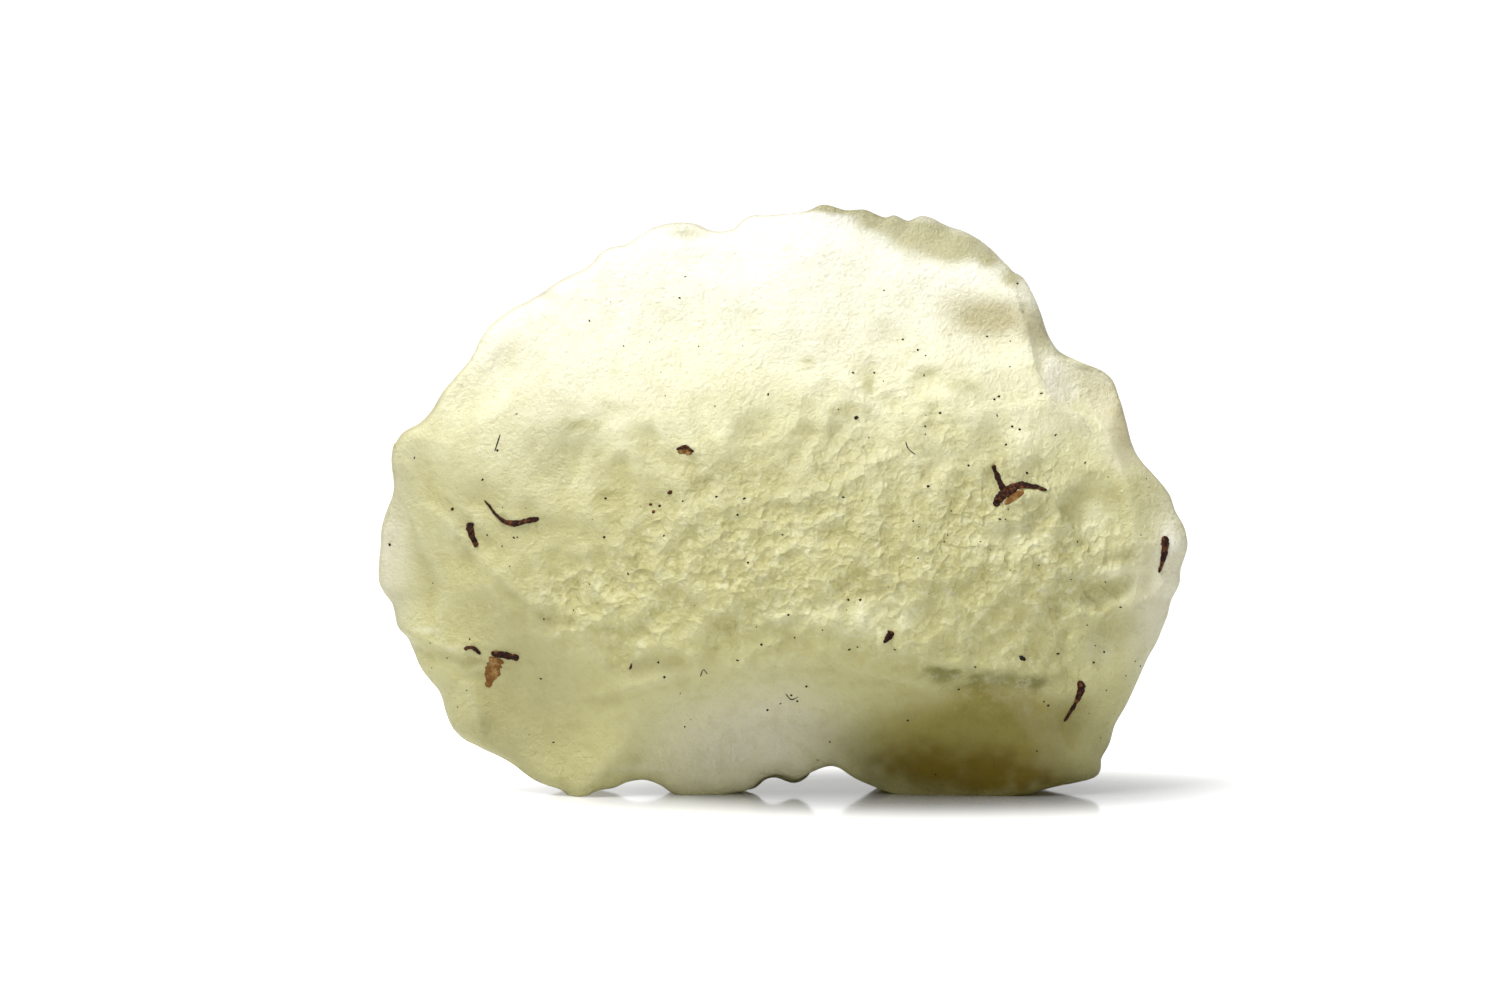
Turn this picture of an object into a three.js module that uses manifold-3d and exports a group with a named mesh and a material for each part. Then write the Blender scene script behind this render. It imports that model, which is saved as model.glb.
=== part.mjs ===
/*
 * Libyan desert glass: one wind-worn piece of pale yellow natural silica glass, standing on its
 * lower edge. Iron-stained clay is lodged in the open fissures of its front face.
 *
 * Millimetres. X runs along the piece, Y from the front face to the back face, Z up from the
 * surface that it stands on. The origin is under the middle of its bounding box.
 *
 * The glass starts as a net stretched over the outline: a square net is rounded to a disc, the disc
 * is drawn out to the outline, and its two copies are pushed apart to the front and the back face.
 * Swells and hollows shape the faces. Shell-shaped flake scars, wind pits, the fissures and the worn
 * feet are cut afterwards.
 */
import * as THREE from "three";
import { mergeVertices } from "three/addons/utils/BufferGeometryUtils.js";
import Module from "manifold-3d";

const wasm = await Module();
wasm.setup();

// Driving dimensions
const HEART = { x: 0, z: 18.8 }; // middle of the outline, where the net's rings shrink to
const HALF_THICKNESS = 5.6; // of each face, before its swells
const NET_CELLS = 28; // along one side of each face's square net
const RIM_STEPS = 720; // directions from the heart in which the outline is measured
const SOFT_SPAN = 22; // directions that the softened inner outline averages, each way
const SHARP_FROM = 0.55; // ring from which the softened outline turns into the sharp one
const EVEN_RINGS = 0.35; // share of even spacing in the rings, the rest crowds towards the rim
const CLAY_GAP = 0.1; // between a clay fill and the fissure's walls
const GROUND = { width: 80, depth: 40, height: 4 }; // the block that cuts the feet flat

// The outline, x and z, from the left foot round over the crown and back along the lower edge
const LEFT_FLANK = [
  [-13.7, -0.45], [-14.6, 0.2], [-15.6, 0.5], [-16.6, 0.9], [-18.3, 2.1], [-20.2, 3.1], [-21.1, 3.5],
  [-21.9, 4.3], [-22.4, 5.3], [-22.8, 6.8], [-24.1, 8.5], [-25.0, 10.7], [-25.8, 12.4], [-26.7, 13.4],
  [-27.0, 14.4], [-26.8, 16.5], [-26.5, 18.4], [-25.7, 20.5], [-25.6, 22.9], [-25.1, 23.9], [-24.0, 24.5],
];
const LEFT_SHOULDER = [
  [-23.2, 25.4], [-22.4, 26.8], [-21.7, 27.6], [-20.5, 28.9], [-19.9, 30.1], [-19.1, 31.2], [-17.9, 32.2],
  [-16.7, 32.8], [-14.7, 33.9], [-12.8, 34.9], [-11.7, 36.0], [-10.4, 36.4], [-9.4, 37.1], [-8.6, 37.6],
];
const CROWN = [
  [-7.4, 37.8], [-5.8, 37.8], [-4.8, 37.4], [-3.9, 37.3], [-3.1, 37.5], [-2.5, 38.1], [-1.9, 38.5],
  [-0.7, 38.7], [1.6, 38.9], [2.9, 39.3], [4.3, 38.9], [5.6, 38.9], [6.9, 38.3], [7.6, 38.4], [8.5, 38.0],
  [9.5, 38.3], [11.0, 37.8], [12.7, 37.0], [14.1, 35.8], [15.3, 34.6], [16.1, 34.2],
];
const RIGHT_SHOULDER = [
  [16.9, 33.0], [17.3, 32.0], [17.7, 30.8], [18.1, 30.0], [18.8, 29.2], [20.2, 28.6], [21.5, 28.2],
  [22.3, 27.5], [22.8, 26.3], [23.2, 24.8], [23.8, 22.8], [24.9, 21.4], [26.0, 20.0], [26.4, 18.8],
];
const RIGHT_FLANK = [
  [26.9, 17.7], [27.0, 16.5], [26.5, 15.0], [26.4, 14.0], [25.9, 12.9], [25.7, 11.6], [25.1, 10.0],
  [23.8, 7.5], [23.1, 5.9], [22.4, 4.5], [22.0, 3.1], [21.5, 2.2], [21.4, 1.6], [21.0, 1.0],
];
const RIGHT_FOOT = [
  [19.6, 0.6], [17.8, 0.2], [15.3, -0.3], [12.3, -0.6], [9.6, -0.6], [7.3, -0.2], [5.5, 0.4],
];
const LOWER_EDGE = [
  [4.6, 0.9], [3.8, 1.5], [3.1, 1.6], [2.2, 1.2], [1.5, 0.8], [0.8, 0.6], [-0.3, 0.9], [-1.1, 0.7],
  [-1.8, 0.1], [-2.6, -0.2], [-4.1, -0.3], [-5.4, -0.4], [-6.4, -0.5], [-7.3, 0.0], [-8.1, 0.6],
  [-9.2, 1.0], [-10.3, 0.9], [-11.2, 0.5], [-12.4, 0.2],
];
const OUTLINE = [
  LEFT_FLANK, LEFT_SHOULDER, CROWN, RIGHT_SHOULDER, RIGHT_FLANK, RIGHT_FOOT, LOWER_EDGE,
].flat();
const OUTLINE_SAMPLES = 900; // along the curve through the outline's points

// How the rim rounds off: 1 is a plain half ellipse, less is blunter and more is sharper
const RIM_ROUNDING = 0.72;
const RIM_CHANGES = [
  { x: 12, z: 0, rx: 9, rz: 8, change: -0.36 }, // the thick right foot is nearly square
  { x: -5, z: 0, rx: 5, rz: 5, change: -0.15 },
  { x: -14, z: 0, rx: 4, rz: 4, change: -0.25 },
  { x: 2, z: 39, rx: 17, rz: 10, change: 0.25 }, // the crown thins to an edge
  { x: -26, z: 18, rx: 7, rz: 11, change: 0.15 },
];

// How far the rim wanders to the front, below 0, or to the back
const RIM_SWAYS = [
  { x: 11, z: 37, rx: 9, rz: 9, sway: 2.4 },
  { x: -6, z: 38, rx: 6, rz: 6, sway: 1.7 },
  { x: -24, z: 24, rx: 7, rz: 6, sway: -0.9 },
  { x: -25, z: 12, rx: 8, rz: 7, sway: 1.1 },
  { x: 23, z: 28, rx: 6, rz: 5, sway: 1.3 },
  { x: 26, z: 14, rx: 5, rz: 7, sway: -0.8 },
  { x: 12, z: 0, rx: 9, rz: 5, sway: 0.1 },
  { x: -6, z: 0, rx: 4, rz: 4, sway: -0.8 },
  { x: -14, z: 0, rx: 4, rz: 4, sway: -0.6 },
];

// The swells and hollows of each face
const FRONT = {
  side: -1,
  swells: [
    { x: 1, z: 13, rx: 19, rz: 7.5, rise: 2.2 }, // the belly over the lower scar
    { x: 12, z: 3, rx: 8, rz: 7, rise: 1.0 }, // the foot
    { x: 0, z: 38, rx: 24, rz: 11, rise: -2.5 },
    { x: -25, z: 18, rx: 7, rz: 15, rise: -1.7 },
    { x: -19, z: 13, rx: 4, rz: 3, rise: 0.7 },
    { x: 25, z: 20, rx: 6, rz: 14, rise: -1.3 },
    { x: -4, z: 1, rx: 8, rz: 5, rise: -0.9 },
    { x: -2, z: 31.5, rx: 9, rz: 3.6, rise: -0.5 }, // the wind-polished hollow
    { x: -15.2, z: 5.6, rx: 6, rz: 3.6, rise: -0.7 },
    { x: -16.6, z: 27.6, rx: 2.4, rz: 4, rise: -0.5 },
  ],
};
const BACK = {
  side: 1,
  swells: [
    { x: -3, z: 15, rx: 16, rz: 9, rise: 1.9 },
    { x: 13, z: 2, rx: 9, rz: 7, rise: 1.6 },
    { x: 0, z: 38, rx: 24, rz: 11, rise: -2.0 },
    { x: -25, z: 18, rx: 7, rz: 15, rise: -1.5 },
    { x: 25, z: 20, rx: 6, rz: 14, rise: -1.4 },
    { x: 8, z: 27, rx: 7, rz: 4, rise: 0.8 },
    { x: -12, z: 8, rx: 6, rz: 4, rise: -0.6 },
  ],
};

// Shell-shaped flake scars, by their middle on a face, half length, half height, depth and turn
const FRONT_SCARS = [
  { x: -1.2, z: 4.9, along: 15, across: 4.7, depth: 1.3, turn: 0.02 }, // under the belly
  { x: -2.0, z: 3.4, along: 6.4, across: 4.6, depth: 1.3, turn: 0 },
  { x: -15.4, z: 6.0, along: 6.4, across: 3.8, depth: 0.7, turn: -0.2 }, // the bowl at lower left
  { x: 8.2, z: 37.4, along: 3.8, across: 2.2, depth: 0.8, turn: -0.2 }, // the bevel at upper right
  { x: 14.0, z: 35.6, along: 3.4, across: 2.0, depth: 0.8, turn: -0.6 },
  { x: -5.4, z: 37.4, along: 2.8, across: 1.1, depth: 0.6, turn: 0 }, // the notch in the crown
  { x: 20.6, z: 27.4, along: 3.6, across: 3.6, depth: 1.3, turn: 0 }, // the thin ear
  { x: 20.7, z: 18.8, along: 3.1, across: 2.5, depth: 0.7, turn: 1.4 }, // the thumbprint
  { x: 21.6, z: 13.8, along: 3.2, across: 1.1, depth: 0.5, turn: 0.35 },
  { x: 21.9, z: 10.2, along: 2.4, across: 1.8, depth: 0.5, turn: 1.2 },
  { x: 15.5, z: 17.4, along: 2.4, across: 1.4, depth: 0.4, turn: 0.2 },
  { x: -24.2, z: 8.0, along: 3.0, across: 2.2, depth: 0.7, turn: -0.9 }, // below the left crest
  { x: -24.8, z: 14.4, along: 3.8, across: 2.4, depth: 0.7, turn: 1.5 },
  { x: -24.0, z: 20.6, along: 2.8, across: 2.0, depth: 0.6, turn: 1.2 },
  { x: -19.6, z: 27.2, along: 3.8, across: 2.4, depth: 0.6, turn: 0.9 },
  { x: -12.4, z: 22.0, along: 3.0, across: 2.2, depth: 0.5, turn: 0.3 },
  { x: 13.8, z: 30.8, along: 3.6, across: 2.0, depth: 0.5, turn: -0.4 },
  { x: -9.3, z: 0.6, along: 1.9, across: 1.4, depth: 1.5, turn: 0 }, // the arch in the lower edge
];
const BACK_SCARS = [
  { x: -1.5, z: 2.0, along: 6.4, across: 5.4, depth: 2.6, turn: 0 }, // between the feet
  { x: -17, z: 25, along: 7.5, across: 5.0, depth: 1.3, turn: 0.8 },
  { x: 18.5, z: 23, along: 7.0, across: 4.6, depth: 1.2, turn: -1.0 },
  { x: 2, z: 33, along: 9.0, across: 4.0, depth: 0.9, turn: 0 },
  { x: -18, z: 9, along: 6.0, across: 4.4, depth: 1.2, turn: -0.5 },
  { x: 4, z: 22, along: 5.4, across: 3.8, depth: 0.8, turn: 0.3 },
  { x: 19.5, z: 8, along: 4.4, across: 3.0, depth: 0.9, turn: 1.1 },
];

// Fields of wind pits that meet in crests, by their middle, reach and pitch
const FRONT_PITS = { x: 3.5, z: 18.5, rx: 18, rz: 10.5, pitch: 3.3, depth: 0.3 };
const BACK_PITS = { x: 0, z: 16, rx: 19, rz: 12, pitch: 5.6, depth: 0.34 };
const PIT_REACH = 0.4; // share of the field's bell below which no pit is cut
const PIT_SHARE = 0.42; // share of a field's places that have a pit
const PIT_STRETCH = 1.2; // a pit's length over its height
const ROW_PITCH = 0.87; // of the rows of a field, as a share of the pitch along them
const PIT_JITTER = 0.5; // how far a pit strays from its place, as a share of the pitch
const PIT_HALF = { least: 0.4, spread: 0.34 }; // a pit's half height, as a share of the pitch

const BALL_FACES = 0.61; // divisions of a scar's ball for each millimetre of its radius
const BALL_LEAST_DETAIL = 3;

// Small rounded lobes that stand out of the rim
const RIM_LOBES = [{ at: [-23.3, 1.2, 25.4], radii: [1.1, 1.6, 1.1] }];
const LOBE_DETAIL = 4;

// Open fissures in the front face, filled with clay. Each line is x, z and the fill's full width
const FISSURES = {
  clay_fork_blade: {
    depth: 1.5,
    line: [[14.2, 19.1, 0.4], [14.8, 19.8, 0.6], [15.5, 20.3, 0.5], [16.3, 20.5, 0.4], [17.5, 20.2, 0.26]],
  },
  clay_fork_prong: {
    depth: 1.1,
    line: [[14.15, 21.85, 0.3], [14.4, 21.1, 0.4], [14.7, 20.55, 0.36]],
  },
  clay_upper_left: {
    depth: 1.3,
    line: [
      [-19.8, 19.5, 0.26], [-19.0, 18.5, 0.3], [-18.2, 17.95, 0.4], [-17.4, 18.0, 0.42],
      [-16.1, 18.25, 0.28],
    ],
  },
  clay_left_stub: {
    depth: 1.2,
    line: [[-20.75, 18.0, 0.5], [-20.7, 17.4, 0.44], [-20.3, 16.4, 0.36]],
  },
  clay_lower_left_bar: {
    depth: 1.6,
    line: [[-19.4, 9.2, 0.3], [-18.4, 9.1, 0.44], [-17.5, 8.85, 0.4]],
  },
  clay_lower_left_arc: {
    depth: 0.9,
    line: [[-21.2, 9.5, 0.24], [-20.7, 9.6, 0.28], [-20.05, 9.15, 0.28]],
  },
  clay_right_edge: {
    depth: 1.1,
    line: [[25.6, 17.1, 0.34], [25.65, 16.4, 0.5], [25.5, 15.5, 0.36], [25.25, 14.6, 0.24]],
  },
  clay_lower_right: {
    depth: 1.3,
    line: [[20.0, 7.4, 0.34], [20.05, 6.8, 0.5], [19.85, 6.1, 0.34], [19.3, 5.1, 0.28], [18.95, 4.6, 0.26]],
  },
  clay_crescent: {
    depth: 0.7,
    line: [[-7.0, 22.85, 0.24], [-6.4, 23.05, 0.34], [-5.8, 22.7, 0.24]],
  },
  clay_plug: {
    depth: 0.8,
    line: [[7.35, 10.75, 0.44], [7.25, 10.4, 0.5], [6.95, 10.05, 0.26]],
  },
};
const FISSURE_STEPS = 5; // stretches along a fissure's line
const FISSURE_OVERSHOOT = 3; // how far a fissure's cutter stands out of the front face
const RAGGEDNESS = 0.35; // how much a fissure's width varies by chance
const BLUNT_TIP = 0.45; // width of a fissure's tip as a share of its full width

const GLASS_LOOK = { color: 0xe2e2b0, roughness: 0.42, metalness: 0, transparent: true, opacity: 0.85 };
const CLAY_LOOK = { color: 0x4a2014, roughness: 0.92, metalness: 0 };

// A repeatable number from 0 to 1 for a cell of a grid
function cellNumber(i, j, salt) {
  const wave = Math.sin(i * 127.1 + j * 311.7 + salt * 74.7) * 43758.5453;
  return wave - Math.floor(wave);
}

// 1 at a place, falling to about a third one reach away along each axis
function bell(x, z, place) {
  return Math.exp(-(((x - place.x) / place.rx) ** 2) - ((z - place.z) / place.rz) ** 2);
}

// How far a face stands out of the middle sheet at x and z, before the rim rounds it off
function faceDepth(face, x, z) {
  return face.swells.reduce((sum, swell) => sum + swell.rise * bell(x, z, swell), HALF_THICKNESS);
}

function rimSway(x, z) {
  return RIM_SWAYS.reduce((sum, place) => sum + place.sway * bell(x, z, place), 0);
}

function rimRounding(x, z) {
  return RIM_CHANGES.reduce((sum, place) => sum + place.change * bell(x, z, place), RIM_ROUNDING);
}

// The outline's distance from the heart in each direction, and a softened copy for the inner rings
function rimRadii() {
  const corners = OUTLINE.map(([x, z]) => new THREE.Vector3(x - HEART.x, 0, z - HEART.z));
  const curve = new THREE.CatmullRomCurve3(corners, true, "centripetal").getPoints(OUTLINE_SAMPLES);
  const sharp = Array.from({ length: RIM_STEPS }, (_, step) => {
    const angle = (2 * Math.PI * step) / RIM_STEPS;
    const ahead = (p) => p.x * Math.cos(angle) + p.z * Math.sin(angle);
    const aside = (p) => p.z * Math.cos(angle) - p.x * Math.sin(angle);
    const hit = curve.findIndex((p, i) => i > 0 && ahead(p) > 0 && aside(curve[i - 1]) * aside(p) <= 0);
    const [a, b] = [curve[hit - 1], curve[hit]];
    const share = aside(a) === aside(b) ? 0 : aside(a) / (aside(a) - aside(b));
    return THREE.MathUtils.lerp(ahead(a), ahead(b), share);
  });
  const soft = sharp.map((_, step) => {
    let sum = 0;
    for (let near = step - SOFT_SPAN; near <= step + SOFT_SPAN; near++) {
      sum += sharp[(near + RIM_STEPS) % RIM_STEPS];
    }
    return sum / (2 * SOFT_SPAN + 1);
  });
  return { sharp, soft };
}

// A value of a list that runs once round the heart, at a direction from 0 to 8 eighths of a turn
function valueRound(list, eighths) {
  const place = ((((eighths / 8) % 1) + 1) % 1) * list.length;
  const low = Math.floor(place) % list.length;
  return THREE.MathUtils.lerp(list[low], list[(low + 1) % list.length], place - Math.floor(place));
}

// Direction, in eighths of a turn, of a place on the square net once the square is rounded to a disc
function eighthsRound(u, v) {
  if (u === 0 && v === 0) {
    return 0;
  }
  return Math.abs(u) >= Math.abs(v) ? (u > 0 ? 0 : 4) + v / u : (v > 0 ? 2 : 6) - u / v;
}

// One point of the glass's skin, on a face, for a place u, v on its square net
function skinPoint(face, radii, u, v) {
  const ring = Math.max(Math.abs(u), Math.abs(v));
  const spread = THREE.MathUtils.lerp(Math.sin((ring * Math.PI) / 2), ring, EVEN_RINGS);
  const eighths = eighthsRound(u, v);
  const angle = (eighths * Math.PI) / 4;
  const sharp = valueRound(radii.sharp, eighths);
  const soft = valueRound(radii.soft, eighths);
  const reach = THREE.MathUtils.lerp(soft, sharp, THREE.MathUtils.smoothstep(spread, SHARP_FROM, 1));
  const x = HEART.x + reach * spread * Math.cos(angle);
  const z = HEART.z + reach * spread * Math.sin(angle);
  const rimX = HEART.x + sharp * Math.cos(angle);
  const rimZ = HEART.z + sharp * Math.sin(angle);
  const rounding = Math.max(0, 1 - spread ** 2) ** (0.5 * rimRounding(rimX, rimZ));
  const y = rimSway(x, z) + face.side * faceDepth(face, x, z) * rounding;
  return new THREE.Vector3(x, y, z);
}

// The two faces of the glass as one net, the front's points first
function glassNet() {
  const radii = rimRadii();
  const positions = [];
  const triangles = [];
  for (const face of [FRONT, BACK]) {
    const first = positions.length / 3;
    for (let j = 0; j <= NET_CELLS; j++) {
      for (let i = 0; i <= NET_CELLS; i++) {
        positions.push(...skinPoint(face, radii, (2 * i) / NET_CELLS - 1, (2 * j) / NET_CELLS - 1));
      }
    }
    for (let j = 0; j < NET_CELLS; j++) {
      for (let i = 0; i < NET_CELLS; i++) {
        const a = first + j * (NET_CELLS + 1) + i;
        const b = a + 1;
        const c = b + NET_CELLS + 1;
        const d = c - 1;
        triangles.push(...(face === FRONT ? [a, b, c, a, c, d] : [a, c, b, a, d, c]));
      }
    }
  }
  const geometry = new THREE.BufferGeometry();
  geometry.setAttribute("position", new THREE.Float32BufferAttribute(positions, 3));
  geometry.setIndex(triangles);
  geometry.computeVertexNormals();
  return geometry;
}

// The place on a face at x and z, and the direction that the face looks in there
function pointOnFace(net, face, x, z) {
  const { position, normal } = net.attributes;
  const half = position.count / 2;
  const first = face === FRONT ? 0 : half;
  let nearest = first;
  let least = Infinity;
  for (let i = first; i < first + half; i++) {
    const distance = Math.hypot(position.getX(i) - x, position.getZ(i) - z);
    if (distance < least) {
      least = distance;
      nearest = i;
    }
  }
  const corner = new THREE.Vector3().fromBufferAttribute(position, nearest);
  const facing = new THREE.Vector3().fromBufferAttribute(normal, nearest);
  const y = corner.y - (facing.x * (x - corner.x) + facing.z * (z - corner.z)) / facing.y;
  return { at: new THREE.Vector3(x, y, z), facing };
}

// A three.js geometry as a solid that can be joined and cut
function solidOf(geometry) {
  const bare = geometry.clone();
  bare.deleteAttribute("normal");
  bare.deleteAttribute("uv");
  const merged = mergeVertices(bare, 1e-4);
  return new wasm.Manifold(
    new wasm.Mesh({
      numProp: 3,
      vertProperties: merged.attributes.position.array,
      triVerts: new Uint32Array(merged.index.array),
    }),
  );
}

// A solid as a three.js geometry, with flat-shaded faces
function geometryOf(solid) {
  const mesh = solid.getMesh();
  const geometry = new THREE.BufferGeometry();
  geometry.setAttribute("position", new THREE.BufferAttribute(new Float32Array(mesh.vertProperties), 3));
  geometry.setIndex(new THREE.BufferAttribute(new Uint32Array(mesh.triVerts), 1));
  const faceted = geometry.toNonIndexed();
  faceted.computeVertexNormals();
  return faceted;
}

// The stretched ball whose cap leaves a bowl of the scar's length, height and depth in a face
function scarCutter(net, face, { x, z, along, across, depth, turn }) {
  const { at, facing } = pointOnFace(net, face, x, z);
  const radius = (across ** 2 + depth ** 2) / (2 * depth);
  const detail = Math.max(BALL_LEAST_DETAIL, Math.round(BALL_FACES * radius));
  const geometry = new THREE.IcosahedronGeometry(radius, detail);
  geometry.scale(along / across, 1, 1);
  geometry.rotateY(-turn * face.side);
  const right = new THREE.Vector3(facing.y, -facing.x, 0).normalize().multiplyScalar(face.side);
  const up = new THREE.Vector3().crossVectors(right, facing);
  geometry.applyMatrix4(new THREE.Matrix4().makeBasis(right, facing, up));
  const middle = at.addScaledVector(facing, radius - depth);
  geometry.translate(middle.x, middle.y, middle.z);
  return solidOf(geometry);
}

// The pits of a field: small scars on a jittered grid of staggered rows, with places left out
function pitsOf(field) {
  const { pitch } = field;
  const pits = [];
  const columns = Math.ceil(field.rx / pitch);
  const rows = Math.ceil(field.rz / pitch);
  for (let i = -columns; i <= columns; i++) {
    for (let j = -rows; j <= rows; j++) {
      const stagger = j % 2 ? 0.5 : 0;
      const x = field.x + pitch * (i + stagger + PIT_JITTER * (cellNumber(i, j, 1) - 0.5));
      const z = field.z + pitch * ROW_PITCH * (j + PIT_JITTER * (cellNumber(i, j, 2) - 0.5));
      const across = pitch * (PIT_HALF.least + PIT_HALF.spread * cellNumber(i, j, 3));
      const depth = (2 * field.depth * across) / pitch;
      const turn = Math.PI * cellNumber(i, j, 4);
      if (cellNumber(i, j, 6) < PIT_SHARE && bell(x, z, field) > PIT_REACH) {
        pits.push({ x, z, along: PIT_STRETCH * across, across, depth, turn });
      }
    }
  }
  return pits;
}

// The block under the piece, which cuts its feet flat
function ground() {
  const geometry = new THREE.BoxGeometry(GROUND.width, GROUND.depth, GROUND.height);
  geometry.translate(0, 0, -GROUND.height / 2);
  return solidOf(geometry);
}

function rimLobe({ at, radii }) {
  const geometry = new THREE.IcosahedronGeometry(1, LOBE_DETAIL);
  geometry.scale(...radii);
  geometry.translate(...at);
  return solidOf(geometry);
}

// The ribbon outline of a fissure, widened by a margin on every side
function ribbon(line, margin) {
  const middle = new THREE.CatmullRomCurve3(line.map(([x, z, width]) => new THREE.Vector3(x, z, width)));
  const left = [];
  const right = [];
  for (let step = 0; step <= FISSURE_STEPS; step++) {
    const share = step / FISSURE_STEPS;
    const point = middle.getPoint(share);
    const ahead = middle.getTangent(share);
    const across = new THREE.Vector2(-ahead.y, ahead.x).normalize();
    const ragged = 1 + RAGGEDNESS * (cellNumber(step, line.length, 5) - 0.5);
    const taper = Math.min(1, BLUNT_TIP + 3 * Math.min(share, 1 - share));
    const half = (point.z / 2) * ragged * taper + margin;
    left.push(new THREE.Vector2(point.x, point.y).addScaledVector(across, half));
    right.push(new THREE.Vector2(point.x, point.y).addScaledVector(across, -half));
  }
  const shift = (point, tangent, distance) =>
    point.add(new THREE.Vector2(tangent.x, tangent.y).normalize().multiplyScalar(distance));
  [left[0], right[0]].forEach((point) => shift(point, middle.getTangent(0), -margin));
  [left.at(-1), right.at(-1)].forEach((point) => shift(point, middle.getTangent(1), margin));
  return new THREE.Shape([...left, ...right.reverse()]);
}

// A fissure's cutter or its fill: the ribbon drawn from outside the front face into the glass
function fissureSolid(net, { line, depth }, margin) {
  const [x, z] = line[Math.floor(line.length / 2)];
  const floor = pointOnFace(net, FRONT, x, z).at.y + depth + margin;
  const length = FISSURE_OVERSHOOT + depth + margin;
  const options = { depth: length, bevelEnabled: false, steps: 1 };
  const geometry = new THREE.ExtrudeGeometry(ribbon(line, margin), options);
  // Drawn in x and y and grown along z: turned to stand in x and z and reach back along Y
  geometry.rotateX(Math.PI / 2);
  geometry.translate(0, floor, 0);
  return solidOf(geometry);
}

// The glass before its fissures open, so that the clay can end flush with it
function wholeGlass(net) {
  let glass = solidOf(net);
  for (const lobe of RIM_LOBES) {
    glass = glass.add(rimLobe(lobe));
  }
  for (const scar of [...FRONT_SCARS, ...pitsOf(FRONT_PITS)]) {
    glass = glass.subtract(scarCutter(net, FRONT, scar));
  }
  for (const scar of [...BACK_SCARS, ...pitsOf(BACK_PITS)]) {
    glass = glass.subtract(scarCutter(net, BACK, scar));
  }
  return glass.subtract(ground());
}

function namedMesh(name, solid, material, shift) {
  const mesh = new THREE.Mesh(geometryOf(solid), material);
  mesh.name = name;
  mesh.position.copy(shift);
  return mesh;
}

function desertGlass() {
  const net = glassNet();
  const whole = wholeGlass(net);
  const glassMaterial = new THREE.MeshStandardMaterial(GLASS_LOOK);
  const clayMaterial = new THREE.MeshStandardMaterial(CLAY_LOOK);
  const { min, max } = whole.boundingBox();
  const shift = new THREE.Vector3(-(min[0] + max[0]) / 2, -(min[1] + max[1]) / 2, -min[2]);
  const group = new THREE.Group();
  let glass = whole;
  for (const [name, fissure] of Object.entries(FISSURES)) {
    glass = glass.subtract(fissureSolid(net, fissure, CLAY_GAP));
    const fill = whole.intersect(fissureSolid(net, fissure, 0));
    group.add(namedMesh(name, fill, clayMaterial, shift));
  }
  group.add(namedMesh("desert_glass", glass, glassMaterial, shift));
  return group;
}

export default desertGlass();
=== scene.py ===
"""A wind-worn piece of natural desert glass, frosted and pale yellow, standing on its lower edge.

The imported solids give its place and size. The visible glass is a fine net over the solid's outline,
with its swells and most of its scars, and with the hammered wind cells, the dimples and the soft
crests that the solid is too coarse for. Dry clay sits in its fissures, and dark grains are caught
in its skin.

Shapes are worked out in millimetres, in the outline's own frame, and turned into metres in the
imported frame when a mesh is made.
"""

import logging
import math
from collections.abc import Mapping, Sequence
from dataclasses import dataclass, field
from enum import Enum

import bpy
import numpy as np
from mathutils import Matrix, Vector
from mathutils.bvhtree import BVHTree


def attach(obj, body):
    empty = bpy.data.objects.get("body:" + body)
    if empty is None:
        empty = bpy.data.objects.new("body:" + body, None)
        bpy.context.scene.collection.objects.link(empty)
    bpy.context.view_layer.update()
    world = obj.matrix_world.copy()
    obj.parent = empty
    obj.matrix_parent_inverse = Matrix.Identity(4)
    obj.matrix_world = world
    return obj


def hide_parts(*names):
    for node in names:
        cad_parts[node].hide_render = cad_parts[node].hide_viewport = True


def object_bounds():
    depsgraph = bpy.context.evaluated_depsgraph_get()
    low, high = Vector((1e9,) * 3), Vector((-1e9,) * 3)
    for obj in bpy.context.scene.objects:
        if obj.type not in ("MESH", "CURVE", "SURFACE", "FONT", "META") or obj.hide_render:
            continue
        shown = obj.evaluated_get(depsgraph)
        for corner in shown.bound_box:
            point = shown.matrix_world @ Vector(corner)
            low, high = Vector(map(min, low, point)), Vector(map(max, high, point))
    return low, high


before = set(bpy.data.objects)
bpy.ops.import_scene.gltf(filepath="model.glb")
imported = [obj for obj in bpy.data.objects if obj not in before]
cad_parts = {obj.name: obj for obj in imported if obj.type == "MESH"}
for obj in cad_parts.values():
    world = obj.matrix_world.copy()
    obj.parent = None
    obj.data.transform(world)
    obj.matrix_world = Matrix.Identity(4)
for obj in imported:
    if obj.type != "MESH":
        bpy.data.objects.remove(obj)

LOG = logging.getLogger("desert_glass")
MM = 0.001
SHIFT = np.array([-0.0039, 0.1431, 0.0])  # from the outline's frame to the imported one, mm
CAD_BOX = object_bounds()
ROOT = "root"
Triple = tuple[float, float, float]  # a colour, or x, y and z
Settings = Mapping[str, object] | None
Sockets = Mapping[int | str, object] | None


class Side(Enum):
    """A face of the piece, by the sign of the way that it looks along Y."""

    FRONT = -1
    BACK = 1


class Slot(Enum):
    """The material slots of the record."""

    GLASS = "glass"
    CLAY = "clay"


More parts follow.
